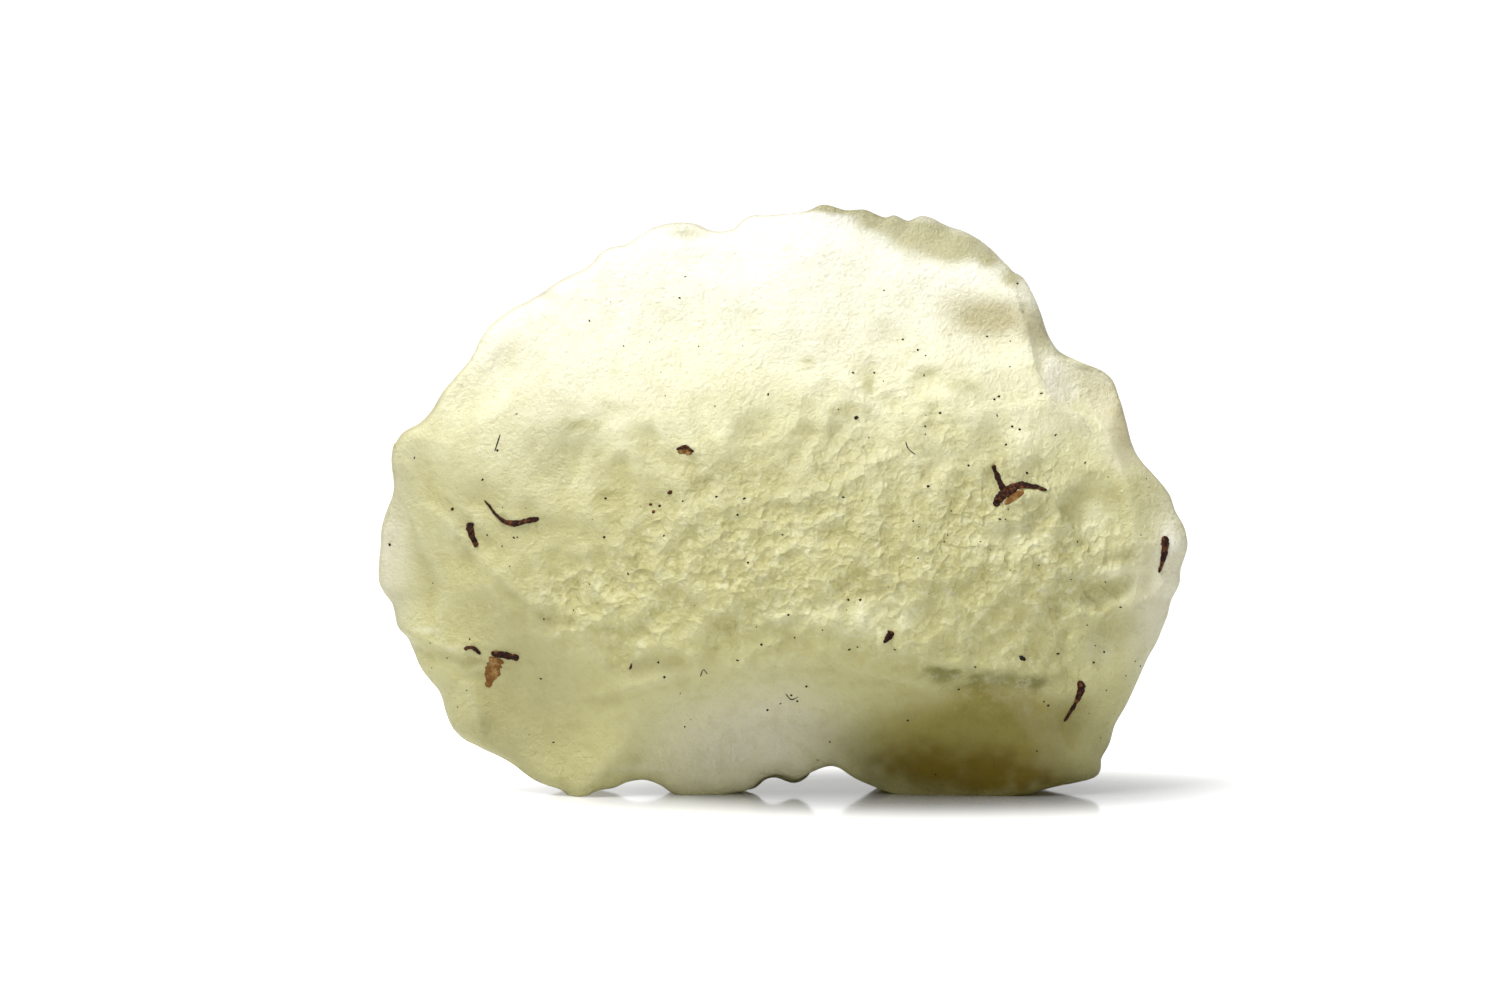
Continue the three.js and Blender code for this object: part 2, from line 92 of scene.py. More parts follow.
# The outline, x and z, from the left foot round over the crown and back along the lower edge
LEFT_FLANK = [
    (-13.7, -0.45), (-14.6, 0.2), (-15.6, 0.5), (-16.6, 0.9), (-18.3, 2.1), (-20.2, 3.1), (-21.1, 3.5),
    (-21.9, 4.3), (-22.4, 5.3), (-22.8, 6.8), (-24.1, 8.5), (-25.0, 10.7), (-25.8, 12.4), (-26.7, 13.4),
    (-27.0, 14.4), (-26.8, 16.5), (-26.5, 18.4), (-25.7, 20.5), (-25.6, 22.9), (-25.1, 23.9), (-24.0, 24.5),
]
LEFT_SHOULDER = [
    (-23.2, 25.4), (-22.4, 26.8), (-21.7, 27.6), (-20.5, 28.9), (-19.9, 30.1), (-19.1, 31.2), (-17.9, 32.2),
    (-16.7, 32.8), (-14.7, 33.9), (-12.8, 34.9), (-11.7, 36.0), (-10.4, 36.4), (-9.4, 37.1), (-8.6, 37.6),
]
CROWN = [
    (-7.4, 37.8), (-5.8, 37.8), (-4.8, 37.4), (-3.9, 37.3), (-3.1, 37.5), (-2.5, 38.1), (-1.9, 38.5),
    (-0.7, 38.7), (1.6, 38.9), (2.9, 39.3), (4.3, 38.9), (5.6, 38.9), (6.9, 38.3), (7.6, 38.4), (8.5, 38.0),
    (9.5, 38.3), (11.0, 37.8), (12.7, 37.0), (14.1, 35.8), (15.3, 34.6), (16.1, 34.2),
]
RIGHT_SHOULDER = [
    (16.9, 33.0), (17.3, 32.0), (17.7, 30.8), (18.1, 30.0), (18.8, 29.2), (20.2, 28.6), (21.5, 28.2),
    (22.3, 27.5), (22.8, 26.3), (23.2, 24.8), (23.8, 22.8), (24.9, 21.4), (26.0, 20.0), (26.4, 18.8),
]
RIGHT_FLANK = [
    (26.9, 17.7), (27.0, 16.5), (26.5, 15.0), (26.4, 14.0), (25.9, 12.9), (25.7, 11.6), (25.1, 10.0),
    (23.8, 7.5), (23.1, 5.9), (22.4, 4.5), (22.0, 3.1), (21.5, 2.2), (21.4, 1.6), (21.0, 1.0),
]
RIGHT_FOOT = [
    (19.6, 0.6), (17.8, 0.2), (15.3, -0.3), (12.3, -0.6), (9.6, -0.6), (7.3, -0.2), (5.5, 0.4),
]
LOWER_EDGE = [
    (4.6, 0.9), (3.8, 1.5), (3.1, 1.6), (2.2, 1.2), (1.5, 0.8), (0.8, 0.6), (-0.3, 0.9), (-1.1, 0.7),
    (-1.8, 0.1), (-2.6, -0.2), (-4.1, -0.3), (-5.4, -0.4), (-6.4, -0.5), (-7.3, 0.0), (-8.1, 0.6),
    (-9.2, 1.0), (-10.3, 0.9), (-11.2, 0.5), (-12.4, 0.2),
]
OUTLINE = LEFT_FLANK + LEFT_SHOULDER + CROWN + RIGHT_SHOULDER + RIGHT_FLANK + RIGHT_FOOT + LOWER_EDGE


def cell_number(i: np.ndarray, j: np.ndarray, salt: float) -> np.ndarray:
    """Gives each cell of a grid a repeatable number from 0 to 1, by column, row and salt."""
    wave = np.sin(i * 127.1 + j * 311.7 + salt * 74.7) * 43758.5453
    return wave - np.floor(wave)


def smoothstep(value: np.ndarray, low: float, high: float) -> np.ndarray:
    """Eases values from 0 at low to 1 at high."""
    share = np.clip((value - low) / (high - low), 0, 1)
    return share * share * (3 - 2 * share)


def soft_max(a: np.ndarray, b: np.ndarray, blend: float) -> np.ndarray:
    """The larger of two heights, with the crease between them rounded off."""
    share = np.clip(0.5 + 0.5 * (a - b) / blend, 0, 1)
    return b + share * (a - b) + blend * share * (1 - share)


def noise(points: np.ndarray, pitch: float, salt: float) -> np.ndarray:
    """Smooth noise in space.

    Args:
        points: Places, one row each, in mm.
        pitch: Spacing of the noise's lattice, in mm.
        salt: Which set of numbers.

    Returns:
        A value from -1 to 1 for each place.
    """
    place = points / pitch
    cell = np.floor(place)
    share = place - cell
    share = share * share * share * (share * (share * 6 - 15) + 10)
    total = np.zeros(len(points))
    for corner in np.ndindex(2, 2, 2):
        at = cell + np.array(corner)
        weight = np.prod(np.where(np.array(corner) == 1, share, 1 - share), axis=1)
        total += weight * cell_number(at[:, 0] + 57.3 * at[:, 1], at[:, 2], salt)
    return 2 * total - 1


def spline(a: np.ndarray, b: np.ndarray, c: np.ndarray, d: np.ndarray, share: np.ndarray) -> np.ndarray:
    """A smooth curve from b to c, by share, that comes from a and goes on to d."""
    cubic = (3 * b - a - 3 * c + d) * share**3
    return 0.5 * (2 * b + (c - a) * share + (2 * a - 5 * b + 4 * c - d) * share**2 + cubic)


def table(kind: type, *rows: tuple) -> tuple:
    """Makes one thing of a kind from each row of values."""
    return tuple(kind(*row) for row in rows)


@dataclass(frozen=True)
class Bell:
    """A soft round place on the glass, in mm."""

    x: float
    z: float
    rx: float
    rz: float
    gain: float = 1.0

    def at(self, x: np.ndarray, z: np.ndarray) -> np.ndarray:
        """What the place adds at x and z: its gain in the middle, a third of it one reach away."""
        return self.gain * np.exp(-(((x - self.x) / self.rx) ** 2) - ((z - self.z) / self.rz) ** 2)


@dataclass(frozen=True)
class Scar:
    """A shell-shaped hollow in a face, in mm: middle, half length, half height, depth and turn."""

    x: float
    z: float
    along: float
    across: float
    depth: float
    turn: float = 0.0
    soft: float = 0.35


@dataclass(frozen=True)
class Crest:
    """A worn crest along a line on a face, in mm. It falls off over one width on each side."""

    line: tuple[tuple[float, float], ...]
    rise: float
    left: float
    right: float

    def height_at(self, x: np.ndarray, z: np.ndarray) -> np.ndarray:
        """How far the crest stands out at each place.

        Args:
            x: Places along the piece.
            z: Heights.

        Returns:
            The heights, 0 far from the crest.
        """
        nearest = np.full(len(x), np.inf)
        signed = np.full(len(x), np.inf)
        for (x0, z0), (x1, z1) in zip(self.line, self.line[1:]):
            span = math.hypot(x1 - x0, z1 - z0)
            ahead = ((x - x0) * (x1 - x0) + (z - z0) * (z1 - z0)) / span
            aside = ((z - z0) * (x1 - x0) - (x - x0) * (z1 - z0)) / span
            distance = np.hypot(aside, ahead - np.clip(ahead, 0, span))
            closer = distance < nearest
            nearest = np.where(closer, distance, nearest)
            signed = np.where(closer, np.where(aside > 0, distance, -distance), signed)
        width = np.where(signed > 0, self.left, self.right)
        return self.rise * np.exp(-np.abs(signed / width) ** 1.4)


@dataclass(frozen=True)
class Pits:
    """A field of hammered wind pits that meet in crests, in mm."""

    places: tuple[Bell, ...]
    pitch: float
    depth: float
    salt: float
    threshold: float = 0.3
    warp: float = 0.35

    def depth_at(self, points: np.ndarray) -> np.ndarray:
        """How deep the pits are at each place.

        Args:
            points: Places on the skin, one row each.

        Returns:
            Depths, 0 outside the pits.
        """
        bend = self.warp * self.pitch
        x = points[:, 0] + bend * noise(points, 1.7 * self.pitch, self.salt + 1)
        z = points[:, 2] + bend * noise(points, 1.7 * self.pitch, self.salt + 2)
        column = np.floor(x / self.pitch)
        row = np.floor(z / self.pitch)
        deepest = np.zeros(len(points))
        for i in (-1, 0, 1):
            for j in (-1, 0, 1):
                a, b = column + i, row + j
                to_x = x - self.pitch * (a + cell_number(a, b, self.salt + 3))
                to_z = z - self.pitch * (b + cell_number(a, b, self.salt + 4))
                half = self.pitch * (0.4 + 0.55 * cell_number(a, b, self.salt + 5))
                bowl = self.depth * (half / self.pitch) * (1 - (to_x**2 + to_z**2) / half**2)
                deepest = soft_max(deepest, bowl, 0.25 * self.depth)
        share = sum(place.at(points[:, 0], points[:, 2]) for place in self.places)
        share = share * (1 + 0.5 * noise(points, 2.6 * self.pitch, self.salt + 6))
        return deepest * smoothstep(share, self.threshold, self.threshold + 0.5)


@dataclass
class Rim:
    """The outline's distance from the heart in each direction."""

    heart_x: float = 0.0
    heart_z: float = 18.8
    steps: int = 1440
    soft_span: int = 44
    samples: int = 24
    sharp: np.ndarray = field(init=False)
    soft: np.ndarray = field(init=False)

    def __post_init__(self) -> None:
        """Measures the outline in every direction, and softens a copy for the inner rings."""
        curve = self._curve()
        angle = np.arctan2(curve[:, 1], curve[:, 0])
        reach = np.hypot(curve[:, 0], curve[:, 1])
        full_turn = 2 * np.pi
        directions = full_turn * np.arange(self.steps) / self.steps
        self.sharp = np.interp(directions, angle, reach, period=full_turn)
        width = 2 * self.soft_span + 1
        padded = np.concatenate([self.sharp[-self.soft_span:], self.sharp, self.sharp[: self.soft_span]])
        self.soft = np.convolve(padded, np.ones(width) / width, mode="valid")

    def _curve(self) -> np.ndarray:
        """A smooth curve through the outline's points, from the heart.

        Returns:
            Points of the curve, x and z.
        """
        corners = np.array(OUTLINE) - [self.heart_x, self.heart_z]
        share = np.linspace(0, 1, self.samples, endpoint=False)[:, None]
        stretches = []
        for k in range(len(corners)):
            near = (corners[(k + n) % len(corners)] for n in (-1, 0, 1, 2))
            stretches.append(spline(*near, share))
        return np.concatenate(stretches)

    def at(self, values: np.ndarray, turn: np.ndarray) -> np.ndarray:
        """Reads a list that runs once round the heart.

        Args:
            values: The list.
            turn: Directions, as shares of a full turn.

        Returns:
            The values there.
        """
        place = np.mod(turn, 1) * self.steps
        low = np.floor(place).astype(int) % self.steps
        share = place - np.floor(place)
        return values[low] * (1 - share) + values[(low + 1) % self.steps] * share


@dataclass
class GlassShape:
    """The form of the glass: two faces over one net, with their swells, scars and wind pits."""

    half_thickness: float = 5.6
    rounding: float = 0.72
    least_thickness: float = 1.0
    frame_cells: int = 28
    frame_even: float = 0.35
    rim: Rim = field(default_factory=Rim)
    rim_changes: tuple[Bell, ...] = table(Bell,
        (12, 0, 9, 8, -0.36), (-5, 0, 5, 5, -0.15), (-14, 0, 4, 4, -0.25), (2, 39, 17, 10, 0.25),
        (-26, 18, 7, 11, 0.15),
    )
    sways: tuple[Bell, ...] = table(Bell,
        (11, 37, 9, 9, 2.4), (-6, 38, 6, 6, 1.7), (-24, 24, 7, 6, -0.9), (-25, 12, 8, 7, 1.1),
        (23, 28, 6, 5, 1.3), (26, 14, 5, 7, -0.8), (12, 0, 9, 5, 0.1), (-6, 0, 4, 4, -0.8),
        (-14, 0, 4, 4, -0.6),
    )
    front_swells: tuple[Bell, ...] = table(Bell,
        (1, 13, 19, 7.5, 2.2), (12, 3, 8, 7, 1.0), (0, 38, 24, 11, -2.5), (-25, 18, 7, 15, -1.7),
        (-19, 13, 4, 3, 0.7), (25, 20, 6, 14, -1.3), (-4, 1, 8, 5, -0.9), (-2, 31.5, 9, 3.6, -0.5),
        (-15.2, 5.6, 6, 3.6, -0.7), (-16.6, 27.6, 2.4, 4, -0.5), (9.6, 38.0, 4.6, 2.4, -1.2),
        (15.2, 35.2, 2.4, 2.0, -0.7), (-5.4, 38.0, 3.0, 1.6, -0.7), (1.6, 38.8, 4.6, 1.8, -0.6),
    )
    back_swells: tuple[Bell, ...] = table(Bell,
        (-3, 15, 16, 9, 1.9), (13, 2, 9, 7, 1.6), (0, 38, 24, 11, -2.0), (-25, 18, 7, 15, -1.5),
        (25, 20, 6, 14, -1.4), (8, 27, 7, 4, 0.8), (-12, 8, 6, 4, -0.6),
    )
    front_scars: tuple[Scar, ...] = table(Scar,
        (-2.4, 4.6, 13.4, 4.6, 0.85, 0.02, 0.7), (-2.0, 3.4, 6.4, 4.6, 0.45, 0, 1.2),
        (-15.4, 6.0, 6.4, 3.8, 0.7, -0.2, 0.5), (20.6, 27.4, 3.6, 3.6, 0.9, 0, 0.2),
        (20.7, 18.8, 3.1, 2.5, 0.5, 1.4, 0.12), (21.6, 13.8, 3.2, 1.1, 0.42, 0.35, 0.12),
        (21.9, 10.2, 2.4, 1.8, 0.5, 1.2), (15.5, 17.4, 2.4, 1.4, 0.4, 0.2, 0.25),
         (-24.0, 20.6, 2.8, 2.0, 0.3, 1.2, 0.6),
        (-19.6, 27.2, 3.8, 2.4, 0.6, 0.9), (-12.4, 22.0, 3.0, 2.2, 0.5, 0.3),
        (13.8, 30.8, 3.6, 2.0, 0.5, -0.4, 0.5), (5.9, 28.2, 1.7, 1.1, 0.3, -0.3, 0.15),
        (9.9, 27.5, 1.8, 1.2, 0.3, 0.2, 0.15), (14.6, 24.2, 2.0, 1.5, 0.35, 0.6, 0.15),
        (2.6, 23.6, 1.5, 1.0, 0.16, -0.5, 0.2), (-1.4, 24.4, 1.8, 1.1, 0.16, 0.3, 0.2),
        (-12.1, 22.4, 1.6, 1.0, 0.35, 0.9, 0.15), (-11.6, 20.2, 1.2, 0.9, 0.3, 0, 0.15),
        (-13.2, 24.6, 1.5, 0.5, 0.18, 0.6, 0.12), (-8.7, 24.2, 1.0, 0.5, 0.14, -0.5, 0.12),
        (17.2, 21.4, 1.8, 1.2, 0.3, 0.3, 0.2), (11.8, 18.6, 2.0, 1.4, 0.35, -0.2, 0.2),
        (24.2, 14.4, 1.6, 1.0, 0.35, 1.2, 0.2),
    )
    back_scars: tuple[Scar, ...] = table(Scar,
        (-1.5, 2.0, 6.4, 5.4, 2.6, 0, 2.4), (-17, 25, 7.5, 5.0, 1.3, 0.8, 0.9),
        (18.5, 23, 7.0, 4.6, 1.2, -1.0, 0.9), (2, 33, 9.0, 4.0, 0.9, 0, 0.9),
        (-18, 9, 6.0, 4.4, 1.2, -0.5, 0.9), (4, 22, 5.4, 3.8, 0.8, 0.3, 0.6),
        (19.5, 8, 4.4, 3.0, 0.9, 1.1, 0.6),
    )
    front_crests: tuple[Crest, ...] = table(Crest,
        (((-20.7, 16.8), (-18.4, 14.6), (-16.1, 12.8)), 0.35, 1.2, 0.35),
        (((-25.6, 11.4), (-23.4, 10.2), (-21.1, 9.5)), 0.5, 1.4, 0.5),
        (((6.6, 36.6), (8.9, 35.2), (11.9, 34.6), (13.4, 34.0)), 0.14, 1.0, 2.0),
        (((16.1, 31.2), (16.7, 28.0), (17.9, 25.8), (19.6, 25.0)), 0.5, 0.35, 1.2),
        (((-24.8, 21.8), (-23.6, 19.4), (-21.8, 18.2)), 0.4, 0.5, 1.4),
        (((-23.9, 17.2), (-22.2, 14.0), (-22.6, 11.4)), 0.35, 1.4, 0.5),
        (((-22.4, 8.4), (-20.6, 7.2), (-20.0, 5.4)), 0.35, 0.5, 1.2),
        (((21.6, 23.4), (22.8, 20.6), (23.4, 17.0)), 0.35, 1.2, 0.5),
        (((19.2, 12.4), (21.6, 11.9), (23.4, 12.6)), 0.3, 1.0, 0.4),
        (((-13.4, 21.0), (-10.6, 23.2), (-7.6, 22.0)), 0.22, 0.4, 1.0),
        (((-12.1, 6.8), (-5.4, 8.8), (3.3, 9.2), (10.0, 7.6)), 0.2, 0.9, 0.3),
        (((-8.4, 36.8), (-5.6, 36.3), (-3.2, 36.5), (-2.4, 37.4)), 0.1, 0.4, 1.0),
        (((-19.4, 28.6), (-18.6, 30.0)), 0.3, 0.8, 0.8),
        (((-21.8, 20.0), (-20.9, 19.1), (-19.8, 18.7)), 0.22, 0.3, 0.5),
        (((-20.0, 18.3), (-19.3, 17.4)), 0.2, 0.5, 0.25),
        (((13.2, 18.8), (14.6, 18.2), (16.2, 18.5)), 0.18, 0.25, 0.5),
        (((-21.6, 8.8), (-20.8, 8.2), (-20.0, 8.6)), 0.25, 0.3, 0.4),
    )
    lobe_at: Triple = (-23.3, 1.2, 25.4)
    lobe_radii: Triple = (1.1, 1.6, 1.1)

    def faces(self, cells: int, even: float) -> tuple[np.ndarray, np.ndarray, np.ndarray]:
        """Lays both faces over one square net, before any scar.

        Args:
            cells: Cells of the net along each side.
            even: Share of even spacing in the rings, the rest crowds towards the rim.

        Returns:
            The front's points and the back's points, and the share of the way from heart to rim.
        """
        line = np.linspace(-1, 1, cells + 1)
        u, v = np.meshgrid(line, line)
        u, v = u.ravel(), v.ravel()
        ring = np.maximum(abs(u), abs(v))
        spread = (1 - even) * np.sin(ring * np.pi / 2) + even * ring
        wide = abs(u) >= abs(v)
        safe_u, safe_v = np.where(u == 0, 1, u), np.where(v == 0, 1, v)
        across, up = np.where(u > 0, 0, 4) + v / safe_u, np.where(v > 0, 2, 6) - u / safe_v
        turn = np.where(wide, across, up) / 8
        angle = 2 * np.pi * turn
        sharp = self.rim.at(self.rim.sharp, turn)
        soft = self.rim.at(self.rim.soft, turn)
        ease = smoothstep(spread, 0.55, 1)
        reach = soft * (1 - ease) + sharp * ease
        x = self.rim.heart_x + reach * spread * np.cos(angle)
        z = self.rim.heart_z + reach * spread * np.sin(angle)
        rim_x = self.rim.heart_x + sharp * np.cos(angle)
        rim_z = self.rim.heart_z + sharp * np.sin(angle)
        power = 0.5 * (self.rounding + sum(place.at(rim_x, rim_z) for place in self.rim_changes))
        round_off = np.maximum(0, 1 - spread**2) ** power
        sway = sum(place.at(x, z) for place in self.sways)
        sides = []
        for side, swells in ((Side.FRONT, self.front_swells), (Side.BACK, self.back_swells)):
            depth = self.half_thickness + sum(swell.at(x, z) for swell in swells)
            sides.append(np.column_stack([x, sway + side.value * depth * round_off, z]))
        return sides[0], sides[1], spread

    def bowl(
        self, side: Side, net: np.ndarray, normals: np.ndarray, scar: Scar, at: np.ndarray
    ) -> np.ndarray:
        """The depth line of one scar's bowl, measured along Y.

        Args:
            side: The face that the scar is in.
            net: The coarse net of that face, which the scar is set on.
            normals: The net's directions.
            scar: The scar.
            at: Places, one row each.

        Returns:
            Y of the bowl's floor, or far outside the face where the bowl isn't.
        """
        nearest = np.argmin(np.hypot(net[:, 0] - scar.x, net[:, 2] - scar.z))
        facing = normals[nearest]
        corner = net[nearest]
        y = corner[1] - (facing[0] * (scar.x - corner[0]) + facing[2] * (scar.z - corner[2])) / facing[1]
        radius = (scar.across**2 + scar.depth**2) / (2 * scar.depth)
        middle = np.array([scar.x, y, scar.z]) + facing * (radius - scar.depth)
        right = side.value * np.array([facing[1], -facing[0], 0])
        right /= np.linalg.norm(right)
        up = np.cross(right, facing)
        turn = scar.turn * side.value
        longways = right * math.cos(turn) + up * math.sin(turn)
        shortways = up * math.cos(turn) - right * math.sin(turn)
        form = np.outer(longways, longways) / (radius * scar.along / scar.across) ** 2
        form += (np.outer(shortways, shortways) + np.outer(facing, facing)) / radius**2
        offset = np.column_stack([at[:, 0] - middle[0], np.full(len(at), -middle[1]), at[:, 2] - middle[2]])
        square = form[1, 1]
        linear = offset @ form[1]
        rest = np.einsum("ij,jk,ik->i", offset, form, offset) - 1
        under = linear**2 - square * rest
        floor = (-linear - side.value * np.sqrt(np.maximum(under, 0))) / square
        return np.where(under > 0, floor, side.value * 1e3)

    def carved(self, cells: int, even: float) -> tuple[np.ndarray, np.ndarray, np.ndarray]:
        """Both faces with their scars.

        Args:
            cells: Cells of the net along each side.
            even: Share of even spacing in the rings.

        Returns:
            The front's points, the back's points and the share of the way from heart to rim.
        """
        front, back, spread = self.faces(cells, even)
        coarse_front, coarse_back, _ = self.faces(self.frame_cells, self.frame_even)
        front_y, back_y = front[:, 1].copy(), back[:, 1].copy()
        faces = square_faces(self.frame_cells)
        normals = vertex_normals(coarse_front, faces)
        for scar in self.front_scars:
            floor = self.bowl(Side.FRONT, coarse_front, normals, scar, front)
            deeper = soft_max(front_y, floor, scar.soft)
            front_y = np.minimum(deeper, np.maximum(front_y, back_y - self.least_thickness))
        normals = vertex_normals(coarse_back, faces[:, ::-1])
        for scar in self.back_scars:
            floor = self.bowl(Side.BACK, coarse_back, normals, scar, back)
            deeper = -soft_max(-back_y, -floor, scar.soft)
            back_y = np.maximum(deeper, np.minimum(back_y, front_y + self.least_thickness))
        front[:, 1] = front_y
        back[:, 1] = back_y
        return front, back, spread

    def with_lobe(self, points: np.ndarray) -> np.ndarray:
        """Pushes the skin out over the small lobe on the left shoulder.

        Args:
            points: Places on the skin.

        Returns:
            The places, those inside the lobe moved to its surface.
        """
        offset = (points - self.lobe_at) / self.lobe_radii
        reach = np.linalg.norm(offset, axis=1, keepdims=True)
        pushed = self.lobe_at + offset / np.maximum(reach, 1e-6) * self.lobe_radii
        return np.where(reach < 1, pushed, points)


def square_faces(cells: int, first: int = 0) -> np.ndarray:
    """The quads of a square net whose points run row by row.

    Args:
        cells: Cells along each side.
        first: Number of the net's first point.

    Returns:
        Four point numbers for each quad, turned to look along -Y.
    """
    j, i = np.mgrid[0:cells, 0:cells]
    a = (first + j * (cells + 1) + i).ravel()
    return np.column_stack([a, a + 1, a + cells + 2, a + cells + 1])


def used_only(points: np.ndarray, quads: np.ndarray) -> tuple[np.ndarray, np.ndarray, np.ndarray]:
    """Leaves out the points that no quad uses.

    Args:
        points: The points.
        quads: Four point numbers for each face.

    Returns:
        The points in use, the quads with their new numbers, and the points' old numbers.
    """
    used = np.unique(quads)
    renumber = np.zeros(len(points), int)
    renumber[used] = np.arange(len(used))
    return points[used], renumber[quads], used


def vertex_normals(points: np.ndarray, quads: np.ndarray) -> np.ndarray:
    """The direction that a skin looks in at each of its points.

    Args:
        points: The points.
        quads: Four point numbers for each face.

    Returns:
        A unit direction for each point.
    """
    a, b, c, d = (points[quads[:, k]] for k in range(4))
    across = np.cross(c - a, d - b)
    total = np.zeros_like(points)
    for k in range(4):
        np.add.at(total, quads[:, k], across)
    return total / np.maximum(np.linalg.norm(total, axis=1, keepdims=True), 1e-12)


class Socket:
    """A shader value that can be used in Python sums."""

    def __init__(self, recipe: "Recipe", link: bpy.types.NodeSocket) -> None:
        """Wraps an output of one of a recipe's nodes."""
        self.recipe = recipe
        self.link = link

    def math(
        self, operation: str, *others: "Socket | float", first: "Socket | float | None" = None
    ) -> "Socket":
        """Puts a Math node behind this value, with one value before it or others after it."""
        values = ([] if first is None else [first]) + [self, *others]
        return self.recipe.value("ShaderNodeMath", {"operation": operation}, dict(enumerate(values)))

    def __add__(self, other: "Socket | float") -> "Socket":
        """This value plus another."""
        return self.math("ADD", other)

    def __radd__(self, other: float) -> "Socket":
        """A number plus this value."""
        return self.math("ADD", first=other)

    def __sub__(self, other: "Socket | float") -> "Socket":
        """This value less another."""
        return self.math("SUBTRACT", other)

    def __rsub__(self, other: float) -> "Socket":
        """A number less this value."""
        return self.math("SUBTRACT", first=other)

    def __mul__(self, other: "Socket | float") -> "Socket":
        """This value times another."""
        return self.math("MULTIPLY", other)

    def __rmul__(self, other: float) -> "Socket":
        """A number times this value."""
        return self.math("MULTIPLY", first=other)

    def __truediv__(self, other: "Socket | float") -> "Socket":
        """This value divided by another."""
        return self.math("DIVIDE", other)

    def eased(self, low: float, high: float) -> "Socket":
        """Eases from 0 at low to 1 at high."""
        sockets = {0: self, 1: low, 2: high, 3: 0.0, 4: 1.0}
        return self.recipe.value("ShaderNodeMapRange", {"interpolation_type": "SMOOTHSTEP"}, sockets)


class Recipe:
    """The nodes of one material or of the world."""

    def __init__(self, tree: bpy.types.NodeTree) -> None:
        """Starts from an empty tree."""
        self.tree = tree
        tree.nodes.clear()

    def node(self, kind: str, settings: Settings = None, sockets: Sockets = None) -> bpy.types.Node:
        """Adds one node.

        Args:
            kind: The node's type.
            settings: Its own settings, set first. "stops" are a ramp's places and colours.
            sockets: Values or links for its inputs, by name or number.

        Returns:
            The node.
        """
        made = self.tree.nodes.new(kind)
        for name, setting in (settings or {}).items():
            if name == "stops":
                self._set_stops(made.color_ramp, setting)
            else:
                setattr(made, name, setting)
        for name, value in (sockets or {}).items():
            if isinstance(value, Socket):
                self.tree.links.new(value.link, made.inputs[name])
            elif isinstance(value, bpy.types.NodeSocket):
                self.tree.links.new(value, made.inputs[name])
            else:
                made.inputs[name].default_value = value
        return made

    @staticmethod
    def _set_stops(ramp: bpy.types.ColorRamp, stops: Sequence[tuple[float, Triple]]) -> None:
        """Gives a ramp its stops.

        Args:
            ramp: The ramp.
            stops: Places and colours, from low to high.
        """
        while len(ramp.elements) < len(stops):
            ramp.elements.new(1.0)
        for element, (place, colour) in zip(ramp.elements, stops):
            element.position = place
            element.color = (*colour, 1.0)

    def value(
        self, kind: str, settings: Settings = None, sockets: Sockets = None, output: int | str = 0
    ) -> Socket:
        """Adds one node, as node does, and gives one of its outputs, by name or number."""
        return Socket(self, self.node(kind, settings, sockets).outputs[output])

    def blend(self, share: Socket | float, low: object, high: object) -> Socket:
        """Mixes two colours.

        Args:
            share: How much of the second colour.
            low: First colour, a link or a value.
            high: Second colour, a link or a value.

        Returns:
            The mixed colour.
        """
        ends = [end if isinstance(end, Socket) else (*end, 1.0) for end in (low, high)]
        sockets = {0: share, 6: ends[0], 7: ends[1]}
        return self.value("ShaderNodeMix", {"data_type": "RGBA"}, sockets, 2)

    def stain(self, share: Socket | float, colour: Socket, stain: Triple) -> Socket:
        """Multiplies a colour by a stain, as far as the share goes."""
        settings = {"data_type": "RGBA", "blend_type": "MULTIPLY"}
        return self.value("ShaderNodeMix", settings, {0: share, 6: colour, 7: (*stain, 1.0)}, 2)

    def place_mm(self) -> Socket:
        """The place on the piece, in mm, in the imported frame."""
        at = self.value("ShaderNodeTexCoord", output="Object")
        return self.value("ShaderNodeVectorMath", {"operation": "SCALE"}, {0: at, "Scale": 1 / MM})

    def cloud(self, at: Socket, scale: float, detail: float = 3.0, rough: float = 0.55) -> Socket:
        """Soft noise round 0.5: the place in mm, waves for each mm, octaves and their strength."""
        sockets = {"Vector": at, "Scale": scale, "Detail": detail, "Roughness": rough}
        return self.value("ShaderNodeTexNoise", {}, sockets, "Fac")

    def marks(self, at: Socket, pitch: float) -> Socket:
        """Small round hollows that meet in crests.

        Args:
            at: The place, in mm.
            pitch: Their spacing, in mm.

        Returns:
            A height, 0 in the middle of each hollow.
        """
        waves = {"Vector": at, "Scale": 0.7 / pitch, "Detail": 1.0}
        stir = self.value("ShaderNodeTexNoise", {}, waves, "Color")
        sockets = {0: stir, 1: (0.8 * pitch,) * 3, 2: at}
        moved = self.value("ShaderNodeVectorMath", {"operation": "MULTIPLY_ADD"}, sockets)
        split = self.node("ShaderNodeSeparateXYZ", {}, {0: moved})
        flat = self.value("ShaderNodeCombineXYZ", {}, {0: split.outputs[0], 1: split.outputs[2]})
        settings = {"voronoi_dimensions": "2D", "feature": "F1"}
        reach = self.value("ShaderNodeTexVoronoi", settings, {"Vector": flat, "Scale": 1 / pitch}, "Distance")
        return reach * reach * pitch

    def attribute(self, name: str) -> Socket:
        """A value that the mesh carries at each point."""
        return self.value("ShaderNodeAttribute", {"attribute_name": name}, output="Fac")


